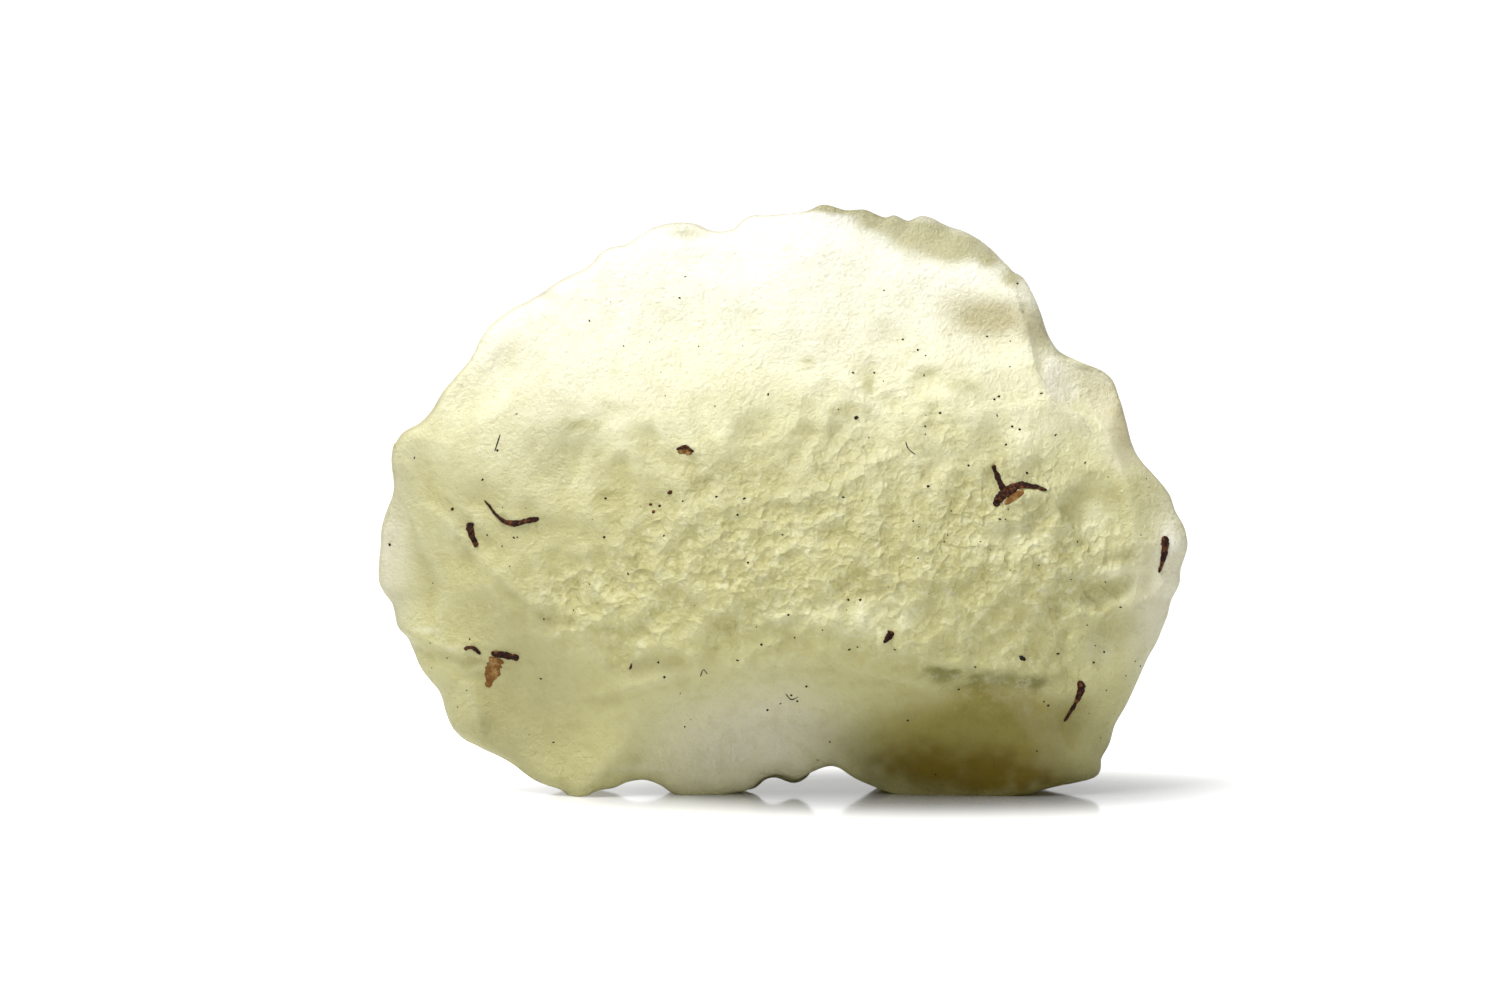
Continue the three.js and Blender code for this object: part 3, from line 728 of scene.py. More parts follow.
@dataclass(frozen=True)
class Patch:
    """A soft patch of another tint on the glass; several patches are painted light and shade."""

    name: str
    tint: Triple
    places: tuple[Bell, ...]
    low: float = 0.1
    high: float = 0.9
    front_only: bool = True
    broken: float = 0.0

    def share_at(self, points: np.ndarray, is_front: np.ndarray) -> np.ndarray:
        """How much of the patch there is at each place.

        Args:
            points: Places on the skin, one row each.
            is_front: Which places are on the front face.

        Returns:
            Shares from 0 to 1.
        """
        total = sum(place.at(points[:, 0], points[:, 2]) for place in self.places)
        total = total * (1 + 0.2 * noise(points, 4.5, 61)) * (1 + self.broken * noise(points, 0.8, 62))
        share = smoothstep(total, self.low, self.high)
        return np.where(is_front, share, 0) if self.front_only else share


@dataclass(frozen=True)
class FrostedGlass:
    """Natural silica glass, frosted by the wind, pale yellow-green and olive where it is thick; its colour
    also carries painted light and shade.
    """

    # Tints by height, paler upwards: painted light from above, over the glass's own yellow
    heights: tuple[tuple[float, Triple], ...] = (
        (0.0, (0.62, 0.59, 0.28)), (5.0, (0.64, 0.615, 0.31)), (9.0, (0.65, 0.625, 0.32)),
        (14.0, (0.605, 0.58, 0.30)), (20.0, (0.60, 0.575, 0.305)), (24.0, (0.75, 0.725, 0.46)),
        (28.5, (0.94, 0.925, 0.72)), (38.0, (0.97, 0.968, 0.90)),
    )
    tallest: float = 40.0
    # Patches of tint; several of them are painted light and shade
    patches: tuple[Patch, ...] = (
        Patch("left_shade", (0.50, 0.475, 0.23), table(Bell,
            (-18.5, 10, 5, 6), (-17, 4.6, 6, 4), (-15.4, 23.4, 4.6, 2.4, 0.7), (-24, 17, 3, 5, 0.5),
        ), 0.2, 1.6, False),
        Patch("margins", (0.86, 0.84, 0.69), table(
            Bell, (-26.5, 15, 3.6, 9, 0.75), (26.0, 13, 4.0, 9),
        ), 0.2, 1.2, False),
        # Painted shade on the bevels of the crown and right shoulder, which face away from the light
        Patch("painted_bevel_shade", (0.47, 0.445, 0.255), table(Bell,
            (6.0, 38.1, 1.7, 0.9), (8.6, 37.1, 2.1, 1.5), (10.4, 37.4, 1.6, 0.7, 0.7),
            (12.4, 36.6, 1.5, 0.7, 0.8), (2.4, 39.0, 2.0, 0.4, 0.7), (11.4, 36.0, 1.8, 0.9),
            (4.0, 38.8, 1.6, 0.4, 0.8), (13.9, 35.5, 0.9, 0.7), (15.4, 34.3, 0.9, 0.8),
            (17.5, 30.8, 0.6, 1.3), (18.7, 29.2, 0.9, 0.6), (20.4, 28.3, 1.2, 0.4, 0.8),
            (-6.2, 37.3, 2.2, 0.7, 0.8), (-15.5, 33.2, 0.9, 0.5, 0.6),
        ), 0.15, 1.1),
        Patch("ear", (0.68, 0.64, 0.46), table(
            Bell, (21.2, 26.6, 1.6, 2.2), (22.4, 23.0, 1.4, 2.0),
        ), 0.15, 1.0),
        Patch("shades", (0.56, 0.515, 0.32), table(Bell,
            (14.0, 31.7, 3.2, 1.4, 1.3), (10.6, 33.2, 2.4, 1.2, 0.4), (-17.6, 28.8, 2.4, 1.8, 0.5),
            (-24.5, 27.0, 2.0, 2.0, 0.6), (22.9, 25.0, 1.1, 3.0, 1.8), (16.9, 30.4, 0.8, 1.4, 0.7),
            (24.4, 21.0, 0.9, 2.4, 0.5),
        ), 0.1, 1.4),
        # Painted highlights: white glare on the ear and bright glints at the margins
        Patch("painted_highlights", (1.0, 0.98, 0.86), table(Bell,
            (18.0, 28.0, 1.0, 1.5), (19.1, 26.7, 0.9, 1.0), (25.7, 17.0, 0.9, 1.5, 0.8),
            (-23.6, 10.9, 1.8, 0.45, 0.55), (-21.9, 9.8, 1.0, 0.5, 0.45),
        ), 0.25, 0.9),
        # Painted glows: pale, lit hollows, dimples and faces
        Patch("painted_glows", (0.96, 0.945, 0.68), table(Bell,
            (-6.0, 25.0, 4.6, 1.5), (-11, 24.6, 2.4, 0.9, 0.6), (16.4, 25.0, 2.8, 1.9, 1.1),
            (15.0, 17.3, 2.4, 1.1), (20.9, 18.0, 1.6, 2.0, 0.9), (22.4, 14.9, 2.2, 0.6, 0.9),
            (20.6, 13.0, 1.8, 0.5, 0.8), (10.0, 22.4, 2.4, 1.2, 0.5), (6.6, 12.4, 3.4, 1.8, 0.8),
            (0.5, 12.4, 3.4, 1.2, 0.5), (21.6, 9.6, 1.4, 1.6, 0.6), (1.5, 17.0, 3.0, 1.4, 0.4),
            (-22.0, 17.4, 1.2, 1.6, 0.7), (-9.4, 1.9, 2.4, 0.5, 0.7), (-12.6, 20.7, 2.0, 0.8, 0.4),
        ), 0.1, 1.25, True, 0.35),
        # Painted shade in the dents and dimples
        Patch("painted_dent_shade", (0.47, 0.45, 0.23), table(Bell,
            (-13.4, 24.7, 1.9, 0.6), (-15.2, 21.7, 1.9, 0.9, 0.7), (-3.4, 21.5, 2.4, 0.9, 0.6),
            (-6.0, 20.4, 3.0, 1.3, 0.5), (5.7, 27.4, 0.7, 0.9), (11.9, 27.3, 1.1, 0.6),
            (4.2, 25.7, 2.2, 0.6, 0.8), (9.6, 28.2, 1.0, 0.5, 0.8), (4.9, 23.6, 1.3, 2.0, 0.4),
            (20.6, 21.4, 2.3, 0.6, 0.8), (18.9, 17.6, 0.4, 2.2, 0.7), (18.8, 14.6, 1.4, 0.4, 0.7),
            (-10.8, 26.0, 1.4, 0.4, 0.6), (0.6, 26.2, 1.4, 0.5, 0.5), (-9.4, 9.0, 3.0, 0.9, 0.9),
            (1.8, 28.9, 0.6, 0.4, 0.6), (8.2, 24.9, 0.8, 0.5, 0.6), (-17.2, 17.0, 1.2, 0.6, 0.5),
        ), 0.1, 1.3, True, 0.35),
        Patch("centre", (1.0, 0.98, 0.80), table(
            Bell, (-1.6, 5.2, 8.0, 4.2), (-2.6, 1.7, 6.0, 3.2),
        ), 0.1, 1.7),
        # The scratchy patch above the foot: real scratches, darkened with painted shade
        Patch("scratches_and_shade", (0.26, 0.25, 0.09), table(Bell,
            (13.4, 7.9, 2.8, 0.9, 1.2), (10.4, 8.6, 2.0, 0.5, 0.9), (16.6, 7.6, 1.8, 0.6, 0.7),
        ), 0.1, 1.3, True, 0.8),
        # Painted shade over the thick foot, rising from the floor
        Patch("foot_shade_rise", (0.34, 0.295, 0.07), table(Bell,
            (9.8, 3.9, 6.2, 2.8), (14.6, 5.6, 4.2, 2.2, 0.7), (17.4, 3.2, 3.4, 2.8, 0.65),
            (18.6, 6.0, 2.6, 2.2, 0.35), (13.8, 7.0, 2.0, 0.9, 0.5),
        ), 0.1, 1.2, False),
        # Painted shade on the foot, where it stands on the floor
        Patch("foot_shade", (0.19, 0.135, 0.0), table(Bell,
            (8.8, 2.2, 3.8, 1.9), (15.6, 1.8, 4.0, 1.9), (12.4, 0.8, 3.4, 1.2, 0.5),
            (19.6, 0.6, 1.8, 1.0, 0.4),
        ), 0.1, 1.3, False, 0.25),
    )
    # Painted highlight: crests paler
    crest_highlight_tint: Triple = (0.97, 0.96, 0.86)
    crest_highlight_share: float = 0.07
    # Painted shade: hollows darker
    hollow_shade_tint: Triple = (0.92, 0.91, 0.85)
    mottle_tint: Triple = (0.90, 0.89, 0.83)
    # Painted glints: pale flecks over the hammered cells
    glint_tint: Triple = (0.95, 0.94, 0.74)
    glint_share: float = 0.34
    # Painted shade along the rim, where the skin turns away from the front
    edge_shade_tint: Triple = (0.60, 0.56, 0.40)
    body: Triple = (0.84, 0.82, 0.46)
    density: float = 130.0
    roughness: float = 0.20
    ior: float = 1.462
    skin_share: float = 0.56
    hammered: tuple[Bell, ...] = table(Bell, (6, 19, 15, 9.5), (-8, 13.5, 9, 5), (15, 13, 8, 6))
    hammer_marks: tuple[tuple[float, float], ...] = ((0.55, 1.6), (1.15, 1.2))  # pitch, depth
    grit: float = 1.1
    relief_step: float = 0.0002
    skin_roughness: float = 0.5

    def hammered_at(self, points: np.ndarray, is_front: np.ndarray) -> np.ndarray:
        """How strongly each place is hammered by the wind.

        Args:
            points: Places on the skin, one row each.
            is_front: Which places are on the front face.

        Returns:
            Shares from 0 to 1.
        """
        total = sum(place.at(points[:, 0], points[:, 2]) for place in self.hammered)
        share = smoothstep(total * (1 + 0.5 * noise(points, 2.8, 63)), 0.1, 1.3)
        return share * np.where(is_front, 1.0, 0.5)

    def made(self) -> bpy.types.Material:
        """Builds the material.

        Returns:
            The material.
        """
        material = bpy.data.materials.new("frosted_glass")
        material.use_nodes = True
        recipe = Recipe(material.node_tree)
        at = recipe.place_mm()
        tint = self._tint(recipe, at)
        marks = sum(depth * recipe.marks(at, pitch) for pitch, depth in self.hammer_marks)
        height = marks * recipe.attribute("hammered") + self.grit * recipe.cloud(at, 2.8, 4.0, 0.65)
        sockets = {"Strength": 1.0, "Distance": self.relief_step, "Height": height}
        relief = recipe.value("ShaderNodeBump", {}, sockets)
        roughness = self.roughness + 0.1 * (recipe.attribute("hammered") - 0.5)
        glass = recipe.value(
            "ShaderNodeBsdfPrincipled",
            {},
            {
                "Base Color": tint, "Roughness": roughness, "IOR": self.ior,
                "Transmission Weight": 1.0, "Normal": relief,
            },
        )
        skin = recipe.value(
            "ShaderNodeBsdfPrincipled",
            {},
            {
                "Base Color": tint, "Roughness": self.skin_roughness, "IOR": self.ior,
                "Specular IOR Level": 0.25, "Normal": relief,
            },
        )
        surface = recipe.value("ShaderNodeMixShader", {}, {0: self.skin_share, 1: glass, 2: skin})
        volume = recipe.value(
            "ShaderNodeVolumeAbsorption", {}, {"Color": (*self.body, 1.0), "Density": self.density}
        )
        recipe.node("ShaderNodeOutputMaterial", {}, {"Surface": surface, "Volume": volume})
        return material

    def _tint(self, recipe: Recipe, at: Socket) -> Socket:
        """The glass's colour, with painted light and shade: paler upwards, with its patches, painted glints,
        a painted highlight on crests, and painted shade in hollows and along the edge.

        Args:
            recipe: The recipe to add the nodes to.
            at: The surface point, in mm.

        Returns:
            The colour.
        """
        height = Socket(recipe, recipe.node("ShaderNodeSeparateXYZ", {}, {0: at}).outputs[2])
        height = height + 10.0 * (recipe.cloud(at, 0.11, 2.0) - 0.5)
        # Paler upwards: painted light from above
        stops = tuple((z / self.tallest, tint) for z, tint in self.heights)
        tint = recipe.value("ShaderNodeValToRGB", {"stops": stops}, {0: height / self.tallest})
        for patch in self.patches:
            tint = recipe.blend(recipe.attribute(patch.name), tint, patch.tint)
        crest = recipe.attribute("crest")
        front = recipe.attribute("front")
        # Painted glints over the hammered cells
        glints = recipe.cloud(at, 1.7, 3.0, 0.6).eased(0.5, 0.66) * recipe.attribute("hammered")
        tint = recipe.blend(glints * self.glint_share, tint, self.glint_tint)
        # Painted highlight on the crests and painted shade in the hollows
        tint = recipe.blend(crest.eased(0.1, 1.0) * self.crest_highlight_share, tint, self.crest_highlight_tint)
        tint = recipe.stain((0.0 - crest).eased(0.0, 1.0) * front, tint, self.hollow_shade_tint)
        mottle = recipe.cloud(at, 0.8, 4.0, 0.62).eased(0.42, 0.72) * (0.35 + 0.65 * front)
        tint = recipe.stain(mottle, tint, self.mottle_tint)
        # Painted shade along the rim
        return recipe.stain(recipe.attribute("edge"), tint, self.edge_shade_tint)


@dataclass(frozen=True)
class DryClay:
    """Iron-stained clay, dark red-brown, crumbly and matt."""

    name: str = "dry_clay"
    dark: Triple = (0.020, 0.006, 0.003)
    rust: Triple = (0.19, 0.065, 0.017)
    rust_share: float = 0.5

    def made(self) -> bpy.types.Material:
        """Builds the material.

        Returns:
            The material.
        """
        material = bpy.data.materials.new(self.name)
        material.use_nodes = True
        recipe = Recipe(material.node_tree)
        at = recipe.place_mm()
        patches = recipe.cloud(at, 2.4, 4.0, 0.6).eased(0.62 - 0.3 * self.rust_share, 0.75)
        colour = recipe.blend(patches, self.dark, self.rust)
        grit = {"Strength": 0.8, "Distance": 0.0001, "Height": recipe.cloud(at, 9.0, 5.0, 0.7)}
        crumbs = recipe.value("ShaderNodeBump", {}, grit)
        shader = recipe.value(
            "ShaderNodeBsdfPrincipled",
            {},
            {"Base Color": colour, "Roughness": 0.92, "Specular IOR Level": 0.2, "Normal": crumbs},
        )
        recipe.node("ShaderNodeOutputMaterial", {}, {"Surface": shader})
        return material


def make_object(
    name: str, points: np.ndarray, faces: Sequence[Sequence[int]] | np.ndarray, material: bpy.types.Material
) -> bpy.types.Object:
    """Makes a smooth mesh from points in mm, in the outline's frame.

    Args:
        name: The piece's name.
        points: The points.
        faces: Point numbers of each face.
        material: Its finish.

    Returns:
        The object, in metres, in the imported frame.
    """
    mesh = bpy.data.meshes.new(name)
    places = (points + SHIFT) * MM
    low, high = (np.array(corner) for corner in CAD_BOX)
    places = np.clip(places, low + 1e-6, high - 1e-6)
    mesh.from_pydata(places.tolist(), [], [[int(corner) for corner in face] for face in faces])
    mesh.update()
    mesh.shade_smooth()
    mesh.materials.append(material)
    made = bpy.data.objects.new(name, mesh)
    bpy.context.scene.collection.objects.link(made)
    return made


@dataclass(frozen=True)
class SkinProbe:
    """Finds the front of the visible glass."""

    tree: BVHTree
    start: float = -30.0
    view_x: float = -2.1
    view_height: float = 19.5
    view_distance: float = 277.0
    view_fall: float = 0.07

    def y_at(self, x: float, z: float) -> float:
        """Y of the front skin at a place, in mm, or 0 beside the piece."""
        place, _, _, _ = self.tree.ray_cast(Vector((x, self.start, z)), Vector((0, 1, 0)))
        return place.y if place else 0.0

    def under(self, x: float, z: float) -> tuple[float, float]:
        """The place on the skin that shows at a place of the outline's plane, seen from the front.

        Args:
            x: Place along the piece, in the plane, in mm.
            z: Height in the plane, in mm.

        Returns:
            X and Z on the skin, in mm.
        """
        at_x, at_z = x, z
        for _ in range(3):
            y = self.y_at(at_x, at_z)
            nearer = 1 + y / self.view_distance
            at_x = self.view_x + (x - self.view_x) * nearer
            at_z = self.view_height + (z - self.view_height) * nearer - self.view_fall * y
        return at_x, at_z


@dataclass
class GlassPiece:
    """The visible glass."""

    shape: GlassShape = field(default_factory=GlassShape)
    finish: FrostedGlass = field(default_factory=FrostedGlass)
    cells: int = 220
    even: float = 0.6
    calm_span: int = 4
    crest_height: float = 0.10
    rolls: tuple[Triple, ...] = ((0.24, 5.0, 3), (0.11, 2.4, 4), (0.035, 1.1, 5))  # height, pitch, salt
    crest: np.ndarray = field(init=False)
    edge: np.ndarray = field(init=False)
    is_front: np.ndarray = field(init=False)
    front_pits: tuple[Pits, ...] = (
        Pits(table(Bell, (5, 19, 15, 9), (-8, 14, 8, 5), (15, 13, 8, 5)), 1.3, 0.32, 10, 0.2),
        Pits(table(Bell, (6, 20, 17, 12), (-14, 18, 11, 9, 0.8), (21, 9, 5, 8, 0.7)), 2.6, 0.48, 30, 0.3),
        Pits(table(Bell, (12.6, 7.8, 3.4, 1.3)), 0.95, 0.2, 90, 0.35),
    )
    back_pits: tuple[Pits, ...] = (
        Pits(table(Bell, (-2, 17, 18, 10)), 2.0, 0.36, 50, 0.35),
        Pits(table(Bell, (0, 15, 22, 13)), 5.0, 0.5, 70, 0.35),
    )

    def points(self) -> tuple[np.ndarray, np.ndarray]:
        """Works out the skin.

        Returns:
            Its points, in mm, and its quads.
        """
        front, back, spread = self.shape.carved(self.cells, self.even)
        count = len(front)
        numbers = np.arange(2 * count)
        at_rim = spread > 1 - 1e-9
        numbers[count:] = np.where(at_rim, numbers[:count], numbers[count:])
        quads = np.concatenate([square_faces(self.cells), numbers[square_faces(self.cells, count)[:, ::-1]]])
        points, quads, used = used_only(np.concatenate([front, back]), quads)
        self.is_front = used < count
        points = self.shape.with_lobe(points)
        points = self._relief(points, quads, self.is_front, np.concatenate([spread, spread])[used])
        self._measure(points, quads, used, at_rim, spread)
        return points, quads

    def _measure(
        self, points: np.ndarray, quads: np.ndarray, used: np.ndarray, at_rim: np.ndarray, spread: np.ndarray
    ) -> None:
        """Notes where the skin has crests and hollows, and where its edge is, for the painted highlight and
        shade.

        Args:
            points: The finished skin.
            quads: Its faces.
            used: Which points of both nets the skin has.
            at_rim: Which points of one net are on the rim.
            spread: Share of the way from heart to rim, for one net.
        """
        count = len(spread)
        normals = vertex_normals(points, quads)
        both = np.zeros((2 * count, 6))
        both[used] = np.column_stack([points, normals])
        both[count:][at_rim] = both[:count][at_rim]
        row = self.cells + 1
        levels = []
        for half in (both[:count], both[count:]):
            net = half[:, :3].reshape(row, row, 3)
            calm = net
            for axis in (0, 1):
                pad = [(self.calm_span, self.calm_span) if a == axis else (0, 0) for a in range(3)]
                padded = np.pad(calm, pad, mode="edge")
                shifts = range(2 * self.calm_span + 1)
                calm = sum(np.take(padded, np.arange(row) + k, axis=axis) for k in shifts) / len(shifts)
            levels.append(np.sum((net - calm).reshape(-1, 3) * half[:, 3:], axis=1))
        inside = 1 - smoothstep(spread, 0.90, 0.97)
        level = np.concatenate(levels) * np.concatenate([inside, inside])
        self.crest = np.clip(level[used] / self.crest_height, -1, 1)
        # Where the painted rim shade goes: near the rim, where the skin turns away from the front
        rim = smoothstep(spread, 0.984, 1.0)
        self.edge = np.concatenate([rim, rim])[used] * (1 - abs(normals[:, 1]))

    def _relief(
        self, points: np.ndarray, quads: np.ndarray, is_front: np.ndarray, spread: np.ndarray
    ) -> np.ndarray:
        """Sinks the wind pits into the skin and lets it roll gently.

        Args:
            points: The carved skin.
            quads: Its faces.
            is_front: Which points are on the front face.
            spread: Share of the way from heart to rim.

        Returns:
            The finished points.
        """
        normals = vertex_normals(points, quads)
        flat = 1 - smoothstep(spread, 0.93, 1)
        sink = -sum(height * noise(points, pitch, salt) for height, pitch, salt in self.rolls)
        for side, fields in ((True, self.front_pits), (False, self.back_pits)):
            there = is_front if side else ~is_front
            for pits in fields:
                sink[there] += (pits.depth_at(points) * flat)[there]
        for crest in self.shape.front_crests:
            sink[is_front] -= crest.height_at(points[:, 0], points[:, 2])[is_front]
        points = points - normals * sink[:, None]
        points[:, 2] = np.maximum(points[:, 2], 0)
        return points

    def build(self) -> SkinProbe:
        """Builds the glass in place of its solid.

        Returns:
            A probe of its skin, for what sits on it.
        """
        points, quads = self.points()
        piece = make_object("wind_worn_glass", points, quads, self.finish.made())
        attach(piece, ROOT)
        notes = {"crest": self.crest, "edge": self.edge, "front": self.is_front.astype(float)}
        notes["hammered"] = self.finish.hammered_at(points, self.is_front)
        for patch in self.finish.patches:
            notes[patch.name] = patch.share_at(points, self.is_front)
        for name, values in notes.items():
            piece.data.attributes.new(name, "FLOAT", "POINT").data.foreach_set("value", values)
        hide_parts("desert_glass")
        LOG.info("%s: %d quads", piece.name, len(quads))
        return SkinProbe(BVHTree.FromPolygons(points.tolist(), quads.tolist()))


@dataclass
class Studio:
    """The pale floor with its painted contact shadow, the soft light and the camera."""

    picture_centre: Triple = (-2.07, 0.0, 19.5)
    distance: float = 277.8
    elevation: float = math.radians(4.0)
    lens: float = 100.0
    sensor: float = 36.0
    floor_size: float = 1.6
    behind: float = 0.95
    before: float = 0.12
    above: float = 0.4
    lamp_at: Triple = (-0.12, -0.12, 0.36)
    lamp_towards: Triple = (0.0, 0.0, 0.02)
    lamp_size: float = 0.16
    lamp_power: float = 2.3
    # The floor's painted contact shadow: darker, and without glow, under the piece
    shadow_squeeze: Triple = (0.48, 1.0, 1.0)
    shadow_shift: Triple = (-0.0045, 0.0, 0.0)
    shadow_reach: tuple[float, float] = (0.005, 0.016)
    floor_shades: tuple[float, float] = (0.24, 0.66)
    painted_floor_glow: float = 0.5

    def build(self) -> None:
        """Sets the whole studio up."""
        self._camera()
        self._floor()
        self._world()
        self._lamp()
        scene = bpy.context.scene
        scene.view_settings.view_transform = "Standard"
        scene.view_settings.exposure = 0.0
        scene.cycles.max_bounces = 16
        scene.cycles.transmission_bounces = 12
        scene.cycles.sample_clamp_indirect = 6.0

    def _camera(self) -> None:
        """Puts the camera at the photograph's viewing angle."""
        data = bpy.data.cameras.new("camera")
        data.lens = self.lens
        data.sensor_width = self.sensor
        camera = bpy.data.objects.new("camera", data)
        bpy.context.scene.collection.objects.link(camera)
        target = Vector(self.picture_centre) * MM
        away = Vector((0, -math.cos(self.elevation), math.sin(self.elevation)))
        camera.location = target + away * self.distance * MM
        camera.rotation_euler = (-away).to_track_quat("-Z", "Y").to_euler()
        bpy.context.scene.camera = camera

    def _floor(self) -> None:
        """Lays the pale floor, with a painted contact shadow under the piece and a painted glow away from it.
        """
        half = self.floor_size / 2
        mesh = bpy.data.meshes.new("floor")
        corners = [(-half, -half, 0), (half, -half, 0), (half, half, 0), (-half, half, 0)]
        mesh.from_pydata(corners, [], [(0, 1, 2, 3)])
        material = bpy.data.materials.new("white_floor")
        material.use_nodes = True
        recipe = Recipe(material.node_tree)
        place = recipe.value("ShaderNodeTexCoord", output="Object")
        # A painted contact shadow: the floor is darker under the piece, and glows away from it
        sockets = {0: place, 1: self.shadow_squeeze, 2: self.shadow_shift}
        narrow = recipe.value("ShaderNodeVectorMath", {"operation": "MULTIPLY_ADD"}, sockets)
        away = recipe.value("ShaderNodeVectorMath", {"operation": "LENGTH"}, {0: narrow}, "Value")
        clear = away.eased(*self.shadow_reach)
        colour = recipe.blend(clear, *((shade,) * 3 for shade in self.floor_shades))
        glow_away_from_shadow = recipe.blend(clear, (0.0,) * 3, (self.painted_floor_glow,) * 3)
        sockets = {"Base Color": colour, "Roughness": 0.1, "Emission Color": glow_away_from_shadow}
        shader = recipe.value("ShaderNodeBsdfPrincipled", {}, {**sockets, "Emission Strength": 1.0})
        recipe.node("ShaderNodeOutputMaterial", {}, {"Surface": shader})
        mesh.materials.append(material)
        floor = bpy.data.objects.new("floor", mesh)
        bpy.context.scene.collection.objects.link(floor)

    def _world(self) -> None:
        """Lights the piece from a pale tent, brightest behind it."""
        world = bpy.data.worlds.new("tent")
        world.use_nodes = True
        bpy.context.scene.world = world
        recipe = Recipe(world.node_tree)
        way = recipe.value("ShaderNodeTexCoord", output="Generated")
        split = recipe.node("ShaderNodeSeparateXYZ", {}, {0: way})
        back = Socket(recipe, split.outputs[1]).eased(-0.6, 0.7)
        top = Socket(recipe, split.outputs[2]).eased(0.1, 1.0)
        tent = self.before + (self.behind - self.before) * back + self.above * top
        seen = recipe.value("ShaderNodeLightPath", output="Is Camera Ray")
        strength = tent * (1 - seen) + 1.1 * seen
        shader = recipe.value("ShaderNodeBackground", {}, {"Color": (1, 1, 1, 1), "Strength": strength})
        recipe.node("ShaderNodeOutputWorld", {}, {"Surface": shader})

    def _lamp(self) -> None:
        """Hangs a square softbox over the piece."""
        data = bpy.data.lights.new("top_softbox", "AREA")
        data.size = self.lamp_size
        data.energy = self.lamp_power
        lamp = bpy.data.objects.new("top_softbox", data)
        lamp.location = self.lamp_at
        aim = Vector(self.lamp_towards) - Vector(self.lamp_at)
        lamp.rotation_euler = aim.to_track_quat("-Z", "Y").to_euler()
        lamp.visible_camera = False
        bpy.context.scene.collection.objects.link(lamp)


def curve_through(points: np.ndarray, steps: int) -> np.ndarray:
    """A smooth open curve through a few points.

    Args:
        points: The points, one row each.
        steps: How many points the curve gets.

    Returns:
        The curve's points.
    """
    padded = np.concatenate([2 * points[:1] - points[1:2], points, 2 * points[-1:] - points[-2:-1]])
    place = np.linspace(0, len(points) - 1 - 1e-9, steps)
    k = place.astype(int)
    share = (place - k)[:, None]
    return spline(*(padded[k + n] for n in range(4)), share)


@dataclass
class ClayFill:
    """Dry clay in one fissure: a crumbly ribbon, a little proud of the glass."""

    name: str
    line: tuple[Triple, ...]
    depth: float
    proud: float = 0.2
    node: str = ""
    crumb: float = 0.6
    widen: float = 1.15
    steps_per_mm: float = 16.0
    columns: int = 10
    ragged: float = 0.45

    def build(self, probe: SkinProbe, finish: bpy.types.Material) -> None:
        """Builds the fill in its fissure.

        Args:
            probe: Finds the glass's skin.
            finish: The clay's finish.
        """
        points = np.array([(*probe.under(x, z), self.widen * width) for x, z, width in self.line])
        length = float(np.sum(np.hypot(*np.diff(points[:, :2], axis=0).T)))
        rows = max(10, int(length * self.steps_per_mm))
        centre = curve_through(points, rows + 1)
        ahead = np.gradient(centre[:, :2], axis=0)
        ahead /= np.linalg.norm(ahead, axis=1, keepdims=True)
        share = np.linspace(0, 1, rows + 1)
        blunt = np.sqrt(np.clip(1 - np.abs(2 * share - 1) ** 14, 0, 1))
        grid = np.zeros((2, rows + 1, self.columns + 1, 3))
        for k, (x, z, width) in enumerate(centre):
            for m, t in enumerate(np.linspace(-1, 1, self.columns + 1)):
                edge = np.array([[x, math.copysign(self.depth, t), z]])
                rag = 1 + self.ragged * (0.7 * noise(edge, 0.35, 7) + 0.5 * noise(edge, 0.13, 8))[0]
                half = max(0.5 * width * rag, 0.02) * blunt[k]
                at_x, at_z = x - ahead[k, 1] * half * t, z + ahead[k, 0] * half * t
                dome = math.sqrt(max(0.0, 1 - t**4)) * blunt[k]
                crumb = 1 + self.crumb * (noise(np.array([[at_x, 0.0, at_z]]), 0.16, 9)[0] - 0.4)
                skin = probe.y_at(at_x, at_z)
                grid[0, k, m] = (at_x, skin - self.proud * dome * crumb + 0.01, at_z)
                grid[1, k, m] = (at_x, skin + 0.02 + self.depth * dome, at_z)
        piece = make_object(self.name, *closed_sheets(grid), finish)
        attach(piece, ROOT)
        if self.node:
            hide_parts(self.node)
        LOG.info("%s: %d faces", piece.name, len(piece.data.polygons))


def closed_sheets(grid: np.ndarray) -> tuple[np.ndarray, np.ndarray]:
    """Joins a front and a back sheet along their border.

    Args:
        grid: Points of both sheets: sheet, row, column and x, y, z.

    Returns:
        The points and the quads of the closed skin.
    """
    _, rows, columns, _ = grid.shape
    count = rows * columns
    row, column = np.divmod(np.arange(count), columns)
    border = (row == 0) | (row == rows - 1) | (column == 0) | (column == columns - 1)
    numbers = np.arange(2 * count)
    numbers[count:] = np.where(border, numbers[:count], numbers[count:])
    j, i = np.mgrid[0:rows - 1, 0:columns - 1]
    a = (j * columns + i).ravel()
    quads = np.column_stack([a, a + columns, a + columns + 1, a + 1])
    quads = np.concatenate([quads, numbers[quads[:, ::-1] + count]])
    points, quads, _ = used_only(grid.reshape(-1, 3), quads)
    return points, quads


@dataclass(frozen=True)
class Grain:
    """A grain on the skin, in mm: its place, half length, half height and turn."""

    x: float
    z: float
    long: float = 0.085
    high: float = 0.08
    turn: float = 0.0


